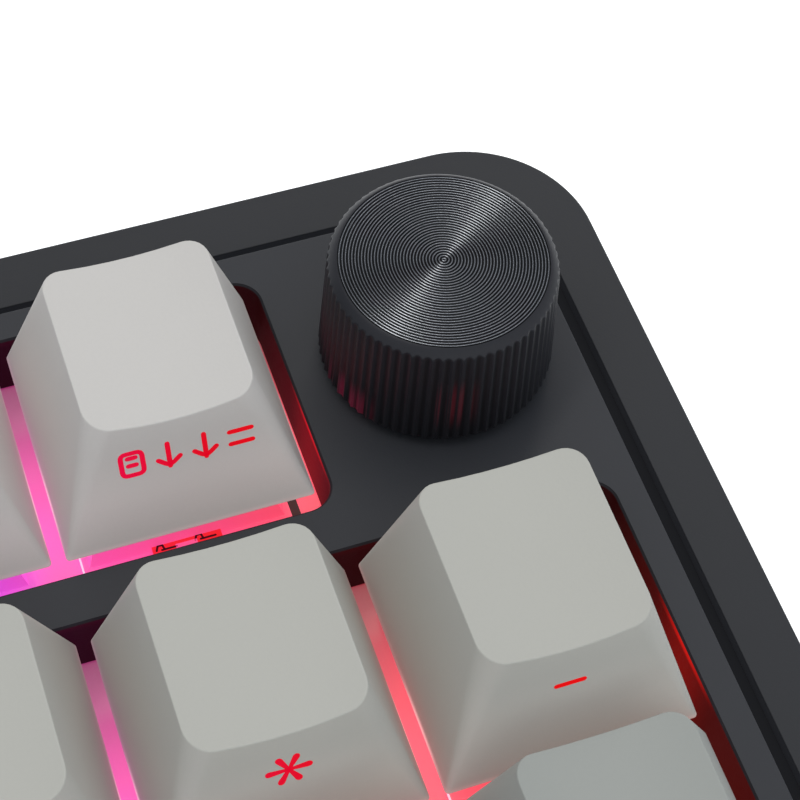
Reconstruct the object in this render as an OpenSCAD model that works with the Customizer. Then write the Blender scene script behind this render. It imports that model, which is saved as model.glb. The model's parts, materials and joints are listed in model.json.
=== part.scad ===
// Compact full-layout gaming keyboard with a volume knob.
// Millimetres. X runs along the rows, Y to the rear, Z up; the origin is the
// middle of the footprint on the desk. Most pieces are drawn in the deck frame:
// Z = 0 on the top of the switch plate, then tilted and lifted as one.

/* [Key grid] */
// Distance between neighbouring key centres
unit = 19.05; // [18.8:0.05:19.6]
// Gap between the main block and the number pad, in units
pad_gap_u = 0.25; // [0.25:0.05:0.5]
// Distance from the number row to the function row
function_pitch = 24.22; // [23.8:0.02:28]
// Gap between the skirts of two neighbouring caps
cap_gap = 1.0; // [0.8:0.05:1.4]

/* [Caps] */
// Height of the skirt's lower edge above the switch plate
skirt_z = 6.0; // [5.8:0.05:6.6]
// Wall thickness of a cap
cap_wall = 1.3; // [1:0.05:1.5]
// Thickness of a cap's top under the dish
cap_top = 1.2; // [1:0.05:1.5]
// How far the side faces lean in at the top
lean_side = 3.1; // [2.6:0.02:3.6]
// How far the front face leans in at the top
lean_front = 3.4; // [2.4:0.02:3.8]
// How far the rear face leans in over a rise of ten millimetres
lean_rear = 0.96; // [0.6:0.02:1.8]
// Depth of the dish in a cap's top
dish = 0.7; // [0.4:0.02:0.9]
// Corner radius of a cap's skirt
skirt_r = 0.3; // [0.2:0.05:1]
// Corner radius of a cap's top
crown_r = 1.6; // [1.2:0.05:3]
// Outer diameter of the socket under a cap
socket_d = 5.5; // [5.2:0.05:5.6]

/* [Switches] */
// Thickness of the switch plate
plate_t = 1.5; // [1.2:0.1:2]
// Square opening of the plate for one switch
plate_hole = 14.0; // [13.9:0.02:14.2]
// Side of the flange that rests on the plate
flange = 15.6; // [15:0.1:16]
// Thickness of that flange
flange_t = 1.0; // [0.8:0.05:1.2]
// Height of the switch housing above the plate
housing_z = 6.2; // [6:0.05:6.4]
// Full travel of a key
travel = 4.0; // [3:0.1:4]
// Distance from the plate's top to the circuit board's top
board_drop = 5.0; // [4.8:0.1:6]
// Thickness of the circuit board
board_t = 1.6; // [1.2:0.1:2]

/* [Case] */
// Distance from the outer caps to the side walls' outer faces
bezel_side = 9.8; // [8.5:0.02:14]
// Distance from the outer caps to the front and rear faces
bezel_end = 10.44; // [9:0.02:14]
// Corner radius of the case
case_r = 10; // [8:0.5:16]
// Thickness of the outer walls and the floor
wall = 3.0; // [2.5:0.1:3.4]
// Height of the outer frame above the plate
frame_z = 4.1; // [3.6:0.05:4.6]
// Height of the inner panel above the plate
panel_z = 6.2; // [5.6:0.05:6.4]
// Width of the frame outside the channel, at the sides
frame_w = 4.3; // [4:0.05:4.8]
// How much wider the frame is along the front and the rear
frame_end = 0.45; // [0:0.05:0.8]
// Width of the channel between frame and panel
channel_w = 1.95; // [1.2:0.05:2.1]
// Depth of the channel below the frame
channel_d = 1.6; // [1.2:0.05:1.8]
// Thickness of the trim ring lying in the channel
trim_t = 0.8; // [0.5:0.05:1.1]
// Clearance between the caps and the walls of a well
well_gap = 1.22; // [1:0.01:1.6]
// Corner radius of the wells
well_r = 2.0; // [1.5:0.1:3]
// Width of the bevel on the lips of the wells
lip = 0.15; // [0.1:0.05:0.4]
// Height of the split between the two shells, below the plate's top
split = 3.5; // [3:0.1:4]
// Tilt of the deck towards the user, in degrees
tilt = 6; // [3:0.5:8]
// Height of the plate's middle above the desk
deck_h = 21; // [20.5:0.25:26]

/* [Knob] */
// Knob's distance to the right of the last pad column
knob_dx = 2.2; // [1.6:0.05:2.6]
// Knob's distance behind the function row
knob_dy = 0.18; // [-0.4:0.02:0.6]
// Diameter of the knob at its foot
knob_d = 17.3; // [16.5:0.1:17.6]
// Diameter of the knob at its shoulder
knob_top_d = 16.5; // [15.8:0.1:16.8]
// Height of the knob
knob_h = 10.2; // [9.5:0.1:13]
// Gap between the knob and the panel at rest
knob_gap = 0.75; // [0.7:0.05:1.2]
// Radius of the turned face on top
face_r = 7.46; // [7:0.02:7.6]
// Number of grooves turned into that face
face_rings = 33; // [20:1:36]
// Depth of those grooves
ring_d = 0.09; // [0.05:0.01:0.12]
// Number of flutes round the side
flutes = 72; // [60:1:80]
// Depth of a flute
flute_d = 0.13; // [0.1:0.01:0.2]
// Diameter of the encoder's shaft
shaft_d = 6.0; // [5.8:0.05:6.1]
// Push travel of the knob
push = 0.4; // [0.2:0.05:0.45]

/* [Feet] */
// Length of a flip-out foot, from its pin to its tip
foot_l = 15; // [12:0.5:18]
// Width of a flip-out foot
foot_w = 42; // [30:1:50]
// Thickness of a flip-out foot
foot_t = 4.4; // [4:0.1:5]
// Distance of a foot's middle from the middle of the case
foot_x = 140; // [120:1:145]
// Height of the rubber pads under the floor
pad_t = 1.2; // [1:0.1:2]

/* [Hidden] */

// Small clearance between still pieces, and running clearance
fit = 0.1;
run = 0.3;
// Overshoot of a cut past the face it opens
cut = 0.5;

// Key grid: a key is [centre in units, row, width in units, depth in units].
// Row 0 is the function row, row 1 the number row and row 5 the bottom row.
block_u = 15;
pad_u = block_u + pad_gap_u;
grid_u = pad_u + 4;
rows = 5;

function run_of(left, row, width, count) =
  [for (i = [0 : count - 1]) [left + (i + 0.5) * width, row, width, 1]];

function_groups = [for (g = [0 : 2]) each run_of(1.25 + 4.25 * g, 0, 1, 4)];
number_group = run_of(0, 1, 1, 13);
upper_group = concat(run_of(0, 2, 1.5, 1), run_of(1.5, 2, 1, 12));
home_group = concat(run_of(0, 3, 1.75, 1), run_of(1.75, 3, 1, 12));
lower_group = concat(run_of(0, 4, 1.25, 1), run_of(1.25, 4, 1, 11),
  run_of(12.25, 4, 1.75, 1));
modifier_group = concat(run_of(0, 5, 1.25, 3), run_of(10, 5, 1, 3));
// The tall enter key has a wing to the left in its rear half
enter_wing_u = 0.25;
enter_group = [[14.375, 2.5, 1.25, 2, enter_wing_u]];

groups = [
  ["esc_key", run_of(0, 0, 1, 1)],
  ["delete_key", run_of(14, 0, 1, 1)],
  ["backspace_key", run_of(13, 1, 2, 1)],
  ["enter_key", enter_group],
  ["space_key", run_of(3.75, 5, 6.25, 1)],
  ["function_keys", function_groups],
  ["number_keys", number_group],
  ["upper_keys", upper_group],
  ["home_row_keys", home_group],
  ["lower_keys", lower_group],
  ["modifier_keys", modifier_group],
  ["up_key", run_of(14, 4, 1, 1)],
  ["left_key", run_of(13, 5, 1, 1)],
  ["down_key", run_of(14, 5, 1, 1)],
  ["right_key", run_of(15, 5, 1, 1)],
  ["home_key", run_of(pad_u, 0, 1, 1)],
  ["page_up_key", run_of(pad_u + 1, 0, 1, 1)],
  ["page_down_key", run_of(pad_u + 2, 0, 1, 1)],
  ["pad_lock_key", run_of(pad_u, 1, 1, 1)],
  ["pad_divide_key", run_of(pad_u + 1, 1, 1, 1)],
  ["pad_multiply_key", run_of(pad_u + 2, 1, 1, 1)],
  ["pad_minus_key", run_of(pad_u + 3, 1, 1, 1)],
  ["pad_7_key", run_of(pad_u, 2, 1, 1)],
  ["pad_8_key", run_of(pad_u + 1, 2, 1, 1)],
  ["pad_9_key", run_of(pad_u + 2, 2, 1, 1)],
  ["pad_plus_key", [[pad_u + 3.5, 2.5, 1, 2]]],
  ["pad_4_key", run_of(pad_u, 3, 1, 1)],
  ["pad_5_key", run_of(pad_u + 1, 3, 1, 1)],
  ["pad_6_key", run_of(pad_u + 2, 3, 1, 1)],
  ["pad_1_key", run_of(pad_u, 4, 1, 1)],
  ["pad_2_key", run_of(pad_u + 1, 4, 1, 1)],
  ["pad_3_key", run_of(pad_u + 2, 4, 1, 1)],
  ["pad_enter_key", [[pad_u + 3.5, 4.5, 1, 2]]],
  ["pad_0_key", run_of(pad_u + 1, 5, 1, 1)],
  ["pad_point_key", run_of(pad_u + 2, 5, 1, 1)]
];
all_keys = [for (g = groups) each g[1]];

// Case outline and the place of the rows inside it
skirt_half = (unit - cap_gap) / 2;
case_w = grid_u * unit - cap_gap + 2 * bezel_side;
case_d = (rows - 1) * unit + function_pitch + 2 * skirt_half + 2 * bezel_end;
number_y = case_d / 2 - bezel_end - skirt_half - function_pitch;
function row_y(r) = r < 1 ? number_y + function_pitch * (1 - r)
  : number_y - (r - 1) * unit;
function key_x(u) = (u - grid_u / 2) * unit;
function key_at(k) = [key_x(k[0]), row_y(k[1]), 0];

// Height of a cap at its middle and the slope of its top, by row
function cap_h(k) = k[1] < 1 ? 10.15 : k[1] <= 1 ? 10.4 : k[1] <= 2 ? 7.6
  : k[1] < 3 ? 7.7 : k[1] == 3 ? 7.1 : 7.3;
function cap_slope(k) = k[1] <= 1 ? 0 : k[1] == 2 ? 2.5 : k[1] < 3 ? 0.5
  : k[1] == 3 ? 4.5 : k[3] > 1 ? 3 : 8;
function half_w(k) = (k[2] * unit - cap_gap) / 2;
function half_d(k) = (k[3] * unit - cap_gap) / 2;
function wing_w(k) = k[4] == undef ? 0 : k[4] * unit;

// Wells: [x min, x max, y min, y max] round the caps that stand in them
grid_x = grid_u * unit / 2 - cap_gap / 2;
well_x1 = -grid_x - well_gap;
function_well = [well_x1, key_x(pad_u + 3) - cap_gap / 2 + well_gap,
  row_y(0) - skirt_half - well_gap, row_y(0) + skirt_half + well_gap];
main_well = [well_x1, -well_x1, row_y(5) - skirt_half - well_gap,
  row_y(1) + skirt_half + well_gap];

// The floor's front and rear edges on the desk, and the deck's shift that puts the
// origin in the middle of the footprint
function floor_edge(y) = y * cos(tilt)
  - (pad_t - deck_h - y * sin(tilt)) / cos(tilt) * sin(tilt);
rear_y = floor_edge(case_d / 2);
front_y = -case_d / 2 * cos(tilt) - frame_z * sin(tilt);
desk_y = -(rear_y + front_y) / 2;
floor_y = [floor_edge(-case_d / 2) + desk_y, rear_y + desk_y];

// Knob and encoder
knob_x = key_x(pad_u + 3.5) + knob_dx;
knob_y = row_y(0) + knob_dy;
knob_z = panel_z + knob_gap;
shoulder = [1.15, 0.6];
shoulder_in = 0.2;
face_rim = 0.12;
flute_r = 0.42;
foot_bevel = 0.3;
knob_wall = 1.4;
knob_core_d = 12;
knob_hollow = 7.4;
encoder_w = 12;
encoder_z = 1.3;
encoder_wall = 0.8;
neck_d = 7.8;
neck_z = panel_z - 0.3;
bore_d = shaft_d + 2 * run;
rotor_d = 9.4;
rotor_t = 1.2;
rotor_hub_d = 6.4;
collar_d = 8.4;
collar_t = 0.7;
collar_z = encoder_z - encoder_wall - run - collar_t;
rotor_z = collar_z - push - run - rotor_t;
rotor_foot_z = -board_drop + encoder_wall + run;
stub_d = 3.6;
stub_flat = 1.2;
stub_z = rotor_foot_z + push;
shaft_z = knob_z + knob_h - 2.4;
flat_z = panel_z + 1.5;
flat_x = 1.5;
insert_d = 9.6;
insert_z = knob_z + 1.2;
insert_top = shaft_z + 0.4;

// Switch pieces
roof_t = 1.2;
slider = [6.9, 5.5];
slider_base = [9.0, slider[1]];
slider_z = 1.6;
seat = 0.06;
pit_z = slider_z - travel - 0.4;
post_h = 3.6;
post_l = 4.1;
post_t = 1.2;
post_gap = 0.05;
led_y = -5.15;
led = [3.4, 2.6, 1.6];
peg_d = 3.9;

// Stabilisers: half the spacing of their stems, by key
stab_near = 11.94;
stab_far = 50;
stab_keys = [for (k = all_keys) if (max(k[2], k[3]) >= 2) k];
function stab_half(k) = max(k[2], k[3]) > 3 ? stab_far : stab_near;
function stab_turn(k) = k[3] > 1 ? 90 : 0;
stab_w = 7.6;
stab_y = [-4.4, 9.9];
stab_body_y = 6.4;
stab_z = 4.0;
stab_clip_z = 1.65;
stab_hole = [6.1, 6.3];
stab_stem = [5.5, 5.7];
stab_stem_z = 0.4;
wire_d = 1.4;
wire_y = 8.6;
wire_z = 0.9;
wire_leg = 4.0;

// Inner shelf, gaskets and fasteners
roof_z = 1.0;
lip_w = 1.2;
lip_z = 0.25;
board_z = -board_drop - board_t;
plate_edge = wall + 1.2;
shelf_w = 4.6;
shelf_t = 2.1;
board_edge = wall + shelf_w + 1.0;
gasket_w = 2.2;
gasket_long = 60;
gasket_short = 36;
gasket_x = [-120, 0, 120];
gasket_y = [-32, 32];
// Depth of bodies that are cut at the desk and the shells later
deep = 60;
boss_d = 5.4;
boss_z = -6.0;
screw_d = 2.4;
screw_head_d = 4.6;
screw_head_t = 1.6;
screw_seat = -9.4;
post_d = 6.6;
end_boss_x = [-172, -57, 57, 172];
bar_boss_x = [-key_x(14), -32, 32, key_x(14)];
boss_y = case_d / 2 - wall - 2.9;
bar_y = (row_y(0) + row_y(1)) / 2;
bosses = concat([for (x = end_boss_x, s = [-1, 1]) [x, s * boss_y]],
  [for (x = bar_boss_x) [x, bar_y]]);

// Socket in the rear wall
usb_x = -118;
usb = [8.9, 7.3, 3.2];
usb_z = board_z - usb[2] / 2;
usb_recess = [13.4, 7.6];
usb_recess_d = 5.2;
usb_y = case_d / 2 - usb_recess_d - 0.6 - usb[1];

// Flip-out feet: pin, pocket and tip
pin_d = 2.4;
pin_l = 2.2;
foot_y = floor_y[1] - 15;
foot_gap = 0.5;
pocket_t = 2.8;
pin_z = pad_t + foot_t / 2 + 0.3;
tip_t = 1.0;
pad_inset = 14;
pads = [[-150, floor_y[0] + pad_inset], [150, floor_y[0] + pad_inset],
  [-90, floor_y[1] - pad_inset], [90, floor_y[1] - pad_inset]];
pad_size = [44, 8];
pad_sink = 0.6;

// Moves a piece from the deck frame to where it stands on the desk
module deck() {
  translate([0, desk_y, deck_h]) rotate([tilt, 0, 0]) children();
}

module rounded(w, d, r) {
  square([w - 2 * r, d], center = true);
  square([w, d - 2 * r], center = true);
  for (x = [-1, 1], y = [-1, 1])
    translate([x * (w / 2 - r), y * (d / 2 - r)]) circle(r, $fn = 48);
}

// Outline of the case, set in by one width all round and by more at the ends
module outline(inset, ends = 0) {
  rounded(case_w - 2 * inset, case_d - 2 * (inset + ends), max(case_r - inset, 1.5));
}

module slab(z0, z1) {
  translate([0, 0, z0]) linear_extrude(z1 - z0) children();
}

module block(size, z0, z1) {
  translate([0, 0, (z0 + z1) / 2]) cube([size[0], size[1], z1 - z0], center = true);
}

// Points of a rounded rectangle at one height; steps is the arcs' fineness
function ring(x0, x1, y0, y1, r, z, steps) =
  [for (c = [[x1 - r, y1 - r, 0], [x0 + r, y1 - r, 90], [x0 + r, y0 + r, 180],
    [x1 - r, y0 + r, 270]]) for (i = [0 : steps])
    [c[0] + r * cos(c[2] + 90 * i / steps), c[1] + r * sin(c[2] + 90 * i / steps), z]];

// Solid through rings of equally many points, lowest ring first
module loft(rings) {
  n = len(rings[0]);
  m = len(rings);
  sides = [for (j = [0 : m - 2]) for (i = [0 : n - 1])
    each [[j * n + i, j * n + (i + 1) % n, (j + 1) * n + i],
      [j * n + (i + 1) % n, (j + 1) * n + (i + 1) % n, (j + 1) * n + i]]];
  polyhedron(points = [for (r = rings) each r],
    faces = concat([for (f = sides) [f[0], f[2], f[1]]],
      [[for (i = [0 : n - 1]) i], [for (i = [n - 1 : -1 : 0]) (m - 1) * n + i]]),
    convexity = 4);
}

module well(w, steps = 8) {
  z = [-plate_t, panel_z - lip, panel_z + lip];
  g = [0, 0, 2 * lip];
  loft([for (i = [0 : 2]) ring(w[0] - g[i], w[1] + g[i], w[2] - g[i], w[3] + g[i],
    well_r + g[i], z[i], steps)]);
}

// Plate of metal under the panel's edge round a well, before the well is cut
module well_lip(w) {
  translate([(w[0] + w[1]) / 2, (w[2] + w[3]) / 2])
    rounded(w[1] - w[0] + 2 * lip_w, w[3] - w[2] + 2 * lip_w, well_r + lip_w);
}

// Case shells
module top_case() color([0.25, 0.26, 0.27]) deck() difference() {
  union() {
    difference() {
      union() {
        slab(-split, frame_z) outline(0);
        slab(0, panel_z) outline(frame_w + channel_w, frame_end);
      }
      slab(-split - cut, roof_z) outline(wall);
      slab(frame_z - channel_d, frame_z + cut) difference() {
        outline(frame_w, frame_end);
        outline(frame_w + channel_w, frame_end);
      }
    }
    slab(lip_z, roof_z + cut) {
      well_lip(function_well);
      well_lip(main_well);
    }
    for (b = bosses) translate(b) {
      block_round(boss_d, boss_z, roof_z + cut);
    }
  }
  well(function_well);
  well(main_well);
  for (b = bosses) translate(b)
    block_round(screw_d + fit, boss_z - cut, -1.6);
  translate([knob_x, knob_y]) {
    block_round(neck_d + 0.8, -cut, panel_z + cut);
    block([encoder_w + 0.8, encoder_w + 0.8], 0, encoder_z + 0.4);
  }
}

module block_round(d, z0, z1) {
  translate([0, 0, z0]) cylinder(d = d, h = z1 - z0, $fn = 48);
}

module trim_ring() color([0.08, 0.08, 0.09]) deck()
  slab(frame_z - channel_d, frame_z - channel_d + trim_t) difference() {
    outline(frame_w + fit, frame_end);
    outline(frame_w + channel_w - fit, frame_end);
  }

// Everything below the floor's level, in desk coordinates
module below(z) {
  translate([-case_w, -case_d, z - deep]) cube([2 * case_w, 2 * case_d, deep]);
}

module foot_pocket(side, grow) {
  y1 = foot_y + foot_t / 2 + foot_gap;
  translate([side * foot_x - foot_w / 2 - foot_gap - grow,
    foot_y - foot_l - foot_gap - grow, -cut])
    cube([foot_w + 2 * (foot_gap + grow), y1 - foot_y + foot_l + foot_gap + 2 * grow,
      pin_z + foot_t / 2 + foot_gap + cut + grow]);
}

module bottom_case() color([0.23, 0.24, 0.25]) difference() {
  union() {
    difference() {
      deck() slab(-deep, -split) outline(0);
      below(pad_t);
      difference() {
        deck() slab(-deep, -split - shelf_t) outline(wall);
        below(pad_t + wall - 0.4);
      }
      deck() slab(-split - shelf_t - cut, -split + cut) outline(wall + shelf_w);
    }
    difference() {
      union() {
        for (s = [-1, 1]) foot_pocket(s, pocket_t);
        deck() {
          for (b = bosses) translate(b) block_round(post_d, -deep, boss_z - 0.2);
          usb_tunnel();
        }
      }
      below(pad_t + cut);
    }
  }
  deck() for (b = bosses) translate(b) {
    block_round(screw_d + 2 * fit, screw_seat - cut, cut);
    block_round(boss_d + 2 * run, boss_z - 0.2, cut);
    block_round(screw_head_d + 4 * fit, -deep, screw_seat);
  }
  for (s = [-1, 1]) {
    foot_pocket(s, 0);
    translate([s * foot_x - foot_w / 2 - pin_l - foot_gap, foot_y, pin_z])
      rotate([0, 90, 0])
        cylinder(d = pin_d + 2 * run, h = foot_w + 2 * (pin_l + foot_gap), $fn = 32);
  }
  for (p = pads) translate([p[0], p[1], pad_t - cut])
    linear_extrude(pad_sink + cut) rounded(pad_size[0] + fit, pad_size[1] + fit, 2);
  deck() translate([usb_x, case_d / 2, usb_z]) rotate([90, 0, 0]) {
    translate([0, 0, -cut]) linear_extrude(usb_recess_d + cut)
      rounded(usb_recess[0], usb_recess[1], 2.6);
    linear_extrude(usb_recess_d + 3) rounded(usb[0] + 0.5, usb[2] + 0.5, 1.8);
  }
}

module usb_tunnel() {
  translate([usb_x, case_d / 2 - wall / 2, usb_z]) rotate([90, 0, 0])
    linear_extrude(usb_recess_d - wall / 2 + 1.6)
      rounded(usb_recess[0] + 1.6, usb_recess[1] + 1.6, 3.4);
}

module usb_socket() color([0.7, 0.71, 0.73]) deck()
  translate([usb_x, usb_y + usb[1], usb_z]) rotate([90, 0, 0]) {
    difference() {
      linear_extrude(usb[1]) rounded(usb[0], usb[2] - fit, 1.5);
      translate([0, 0, -cut]) linear_extrude(usb[1] - 1.2 + cut)
        rounded(usb[0] - 0.6, usb[2] - fit - 0.6, 1.2);
    }
    translate([-3.35, -0.35, 0.4]) cube([6.7, 0.7, usb[1] - 1]);
  }

// Plate, foams and circuit board
module board_shape(inset, hole) {
  difference() {
    outline(inset);
    for (b = bosses) translate(b) circle(d = boss_d + 1.4, $fn = 48);
    for (k = all_keys) translate(key_at(k)) square(hole, center = true);
    for (k = stab_keys) translate(key_at(k)) rotate(stab_turn(k))
      for (s = [-1, 1]) translate([s * stab_half(k), (stab_y[0] + stab_y[1]) / 2])
        square([stab_w + 0.4, stab_y[1] - stab_y[0] + 0.4], center = true);
    translate([knob_x, knob_y]) square(encoder_w + 0.6, center = true);
  }
}

module switch_plate() color([0.9, 0.9, 0.89]) deck()
  slab(-plate_t, 0) board_shape(plate_edge, plate_hole);

module plate_foam() color([0.16, 0.16, 0.17]) deck()
  slab(-board_drop + 0.2, -plate_t - 0.2) board_shape(board_edge + 1, flange);

module circuit_board() color([0.1, 0.22, 0.16]) deck()
  slab(board_z, -board_drop) difference() {
    outline(board_edge);
    for (b = bosses) translate(b) circle(d = post_d + 1.4, $fn = 48);
    for (k = all_keys) translate(key_at(k)) circle(d = peg_d + 0.3, $fn = 24);
  }

module case_foam() color([0.14, 0.14, 0.15]) deck()
  slab(board_z - 2.4, board_z - 0.3) difference() {
    outline(board_edge + 3);
    for (b = bosses) translate(b) circle(d = post_d + 1.4, $fn = 48);
    for (k = all_keys) translate(key_at(k)) circle(d = peg_d + 1.1, $fn = 24);
    translate([usb_x, case_d / 2 - 12]) square([20, 30], center = true);
  }

module gasket_run(z0, z1) {
  inset = plate_edge + 0.3;
  for (x = gasket_x, s = [-1, 1])
    translate([x, s * (case_d / 2 - inset - gasket_w / 2)])
      block([gasket_long, gasket_w], z0, z1);
  for (s = [-1, 1], y = gasket_y)
    translate([s * (case_w / 2 - inset - gasket_w / 2), y])
      block([gasket_w, gasket_short], z0, z1);
}

module gasket_strips() color([0.2, 0.2, 0.21]) deck() {
  gasket_run(0, roof_z);
  gasket_run(-split, -plate_t);
}

// Switches
module switch_bottom() difference() {
  union() {
    block([plate_hole - fit, plate_hole - fit], -board_drop, 0.2);
    block([flange, flange], 0, flange_t);
    block_round(peg_d, board_z - 1.4, -board_drop + cut);
  }
  block(slider_base + 2 * [run, run], pit_z, flange_t + cut);
  translate([0, led_y - cut]) block([led[0] + 0.8, led[1] + 1.2], -board_drop - cut, -2.2);
}

module switch_bottoms() color([0.2, 0.2, 0.22]) deck()
  for (k = all_keys) translate(key_at(k)) switch_bottom();

module tapered(w0, w1, d0, d1, h) {
  intersection() {
    rotate([90, 0, 0]) linear_extrude(d0 + 2, center = true)
      polygon([[-w0 / 2, 0], [w0 / 2, 0], [w1 / 2, h], [-w1 / 2, h]]);
    rotate([90, 0, 90]) linear_extrude(w0 + 2, center = true)
      polygon([[-d0 / 2, 0], [d0 / 2, 0], [d1 / 2, h], [-d1 / 2, h]]);
  }
}

module switch_top() translate([0, 0, flange_t]) difference() {
  h = housing_z - flange_t;
  tapered(14.6, 10.6, 14.4, 9.2, h);
  block(slider + 2 * [run, run], -cut, h + cut);
  block(slider_base + 2 * [run, run], -cut, h - roof_t);
}

module switch_tops() color([0.93, 0.93, 0.94]) deck()
  for (k = all_keys) translate(key_at(k)) switch_top();

module key_leds() color([1, 0.95, 0.85]) deck()
  for (k = all_keys) translate(key_at(k)) translate([0, led_y])
    block([led[0], led[1]], -board_drop, -board_drop + led[2]);

// Stabilisers
module stab_housing() difference() {
  union() {
    translate([0, (stab_y[0] + stab_body_y) / 2])
      block([stab_w, stab_body_y - stab_y[0]], -board_drop + fit, stab_z);
    translate([0, (stab_y[0] + stab_y[1]) / 2])
      block([stab_w, stab_y[1] - stab_y[0]], -board_drop + fit, stab_clip_z);
  }
  block(stab_hole, stab_stem_z - travel - 0.4, stab_z + cut);
  translate([0, wire_y]) block([stab_w + 1, wire_d + 0.4], wire_z - wire_d / 2 - fit,
    stab_z + cut);
  translate([0, (wire_leg + wire_y) / 2]) block([wire_d + 0.4, wire_y - wire_leg + 1],
    wire_z - wire_d / 2 - fit, stab_z + cut);
}

module stab_wire(half) translate([0, wire_y, wire_z]) {
  rotate([0, 90, 0]) cylinder(d = wire_d, h = 2 * half + wire_d, center = true, $fn = 24);
  for (s = [-1, 1]) translate([s * half, 0])
    rotate([90, 0, 0]) cylinder(d = wire_d - fit, h = wire_y - wire_leg, $fn = 24);
}

module stabiliser_housings() color([0.12, 0.12, 0.13]) deck()
  for (k = stab_keys) translate(key_at(k)) rotate(stab_turn(k))
    for (s = [-1, 1]) translate([s * stab_half(k), 0]) stab_housing();

module stabiliser_wires() color([0.75, 0.76, 0.78]) deck()
  for (k = stab_keys) translate(key_at(k)) rotate(stab_turn(k)) stab_wire(stab_half(k));

// Caps
module cross(l, t, z0, z1) {
  block([l, t], z0, z1);
  block([t, l], z0, z1);
}

module cap_body(x0, x1, y0, y1, h, steps) {
  over = h + dish + 1.6;
  grow = over / h;
  loft([ring(x0, x1, y0, y1, skirt_r, 0, steps),
    ring(x0 + lean_side * grow, x1 - lean_side * grow, y0 + lean_front * grow,
      y1 - lean_rear * over / 10, crown_r, over, steps)]);
}

// Space inside a cap: its walls lean with the faces and its roof tilts with the top
module cap_hollow(x0, x1, y0, y1, k) {
  h = cap_h(k);
  a = cap_wall;
  fall = tan(cap_slope(k));
  roof = h - cap_top - dish;
  z0 = (roof - fall * (y0 + a)) / (1 + fall * lean_front / h);
  z1 = (roof - fall * (y1 - a)) / (1 - fall * lean_rear / 10);
  side = lean_side * z0 / h;
  intersection() {
    translate([0, y1 + 1, 0]) rotate([90, 0, 0]) linear_extrude(y1 - y0 + 2)
      polygon([[x0 + a, -cut], [x1 - a, -cut], [x1 - a - side, z0], [x0 + a + side, z0]]);
    translate([x0 - 1, 0, 0]) rotate([90, 0, 90]) linear_extrude(x1 - x0 + 2)
      polygon([[y0 + a, -cut], [y1 - a, -cut], [y1 - a - lean_rear * z1 / 10, z1],
        [y0 + a + lean_front * z0 / h, z0]]);
  }
}

// Cutter above a cap's top: a dish along Y, tilted with the row
module dish_cut(k) {
  half = half_w(k) + wing_w(k) / 2 - lean_side;
  r = (half * half + dish * dish) / (2 * dish);
  len = 2 * half_d(k) + 8;
  translate([-wing_w(k) / 2, 0, cap_h(k)]) rotate([-cap_slope(k), 0, 0])
    difference() {
      translate([0, 0, r - dish]) rotate([90, 0, 0])
        cylinder(r = r, h = len, center = true, $fn = 96);
      translate([-2 * r, -len, 8]) cube([4 * r, 2 * len, 2 * r]);
    }
}

// A space bar is crowned instead of dished
module crown_cut(k) {
  r = 34;
  h = cap_h(k);
  translate([0, 1, 0]) difference() {
    translate([-half_w(k) - 2, -half_d(k) - 4, h / 2])
      cube([2 * half_w(k) + 4, 2 * half_d(k) + 8, h]);
    translate([0, 0, h + 0.2 - r]) rotate([0, 90, 0])
      cylinder(r = r, h = 2 * half_w(k) + 10, center = true, $fn = 128);
  }
}

module cap(k, steps) {
  x = half_w(k);
  y = half_d(k);
  h = cap_h(k);
  wing = wing_w(k);
  translate([0, 0, skirt_z]) difference() {
    union() {
      difference() {
        union() {
          cap_body(-x, x, -y, y, h, steps);
          if (wing > 0) cap_body(-x - wing, x, cap_gap / 2, y, h, steps);
        }
        cap_hollow(-x, x, -y, y, k);
        if (wing > 0) cap_hollow(-x - wing, x, cap_gap / 2, y, k);
      }
      each_socket(k) block_round(socket_d, housing_z - skirt_z + seat, h);
    }
    each_socket(k) cross(post_l + 2 * post_gap, post_t + 2 * post_gap, 0,
      housing_z - skirt_z + post_h + 0.2);
    if (k[2] > 3) crown_cut(k);
    else dish_cut(k);
  }
}

// Repeats its child at each socket of a key
module each_socket(k) {
  children();
  if (max(k[2], k[3]) >= 2)
    for (s = [-1, 1]) rotate(stab_turn(k)) translate([s * stab_half(k), 0])
      rotate(-stab_turn(k)) children();
}

module key(k, steps = 5) deck() translate(key_at(k)) {
  color([0.72, 0.72, 0.7]) cap(k, steps);
  color([0.75, 0.15, 0.15]) {
    slider();
    if (max(k[2], k[3]) >= 2) for (s = [-1, 1]) rotate(stab_turn(k))
      translate([s * stab_half(k), 0]) stab_slider();
  }
}

module slider() {
  block(slider, slider_z, housing_z);
  block(slider_base, slider_z, housing_z - roof_t - run);
  cross(post_l, post_t, housing_z - cut, housing_z + post_h);
}

module stab_slider() {
  block(stab_stem, stab_stem_z, housing_z);
  cross(post_l, post_t, housing_z - cut, housing_z + post_h);
}

module keys(list) for (k = list) key(k);

// Rotary encoder and knob, drawn round the knob's axis
module at_knob() deck() translate([knob_x, knob_y]) children();

module encoder_body() color([0.62, 0.63, 0.65]) at_knob() difference() {
  union() {
    block([encoder_w, encoder_w], -board_drop, encoder_z);
    block_round(neck_d, encoder_z - cut, neck_z);
  }
  block_round(rotor_d + 2 * cut, -board_drop + encoder_wall, encoder_z - encoder_wall);
  block_round(bore_d, -cut, neck_z + cut);
}

module d_shape(d, flat) difference() {
  circle(d = d, $fn = 48);
  translate([flat, -d]) square([d, 2 * d]);
}

module encoder_rotor() color([0.85, 0.83, 0.75]) at_knob() difference() {
  union() {
    block_round(rotor_d, rotor_z, rotor_z + rotor_t);
    block_round(rotor_hub_d, rotor_foot_z, rotor_z + cut);
  }
  slab(rotor_foot_z - cut, rotor_z + rotor_t + cut)
    d_shape(stub_d + 2 * run, stub_flat + run);
}

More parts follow.
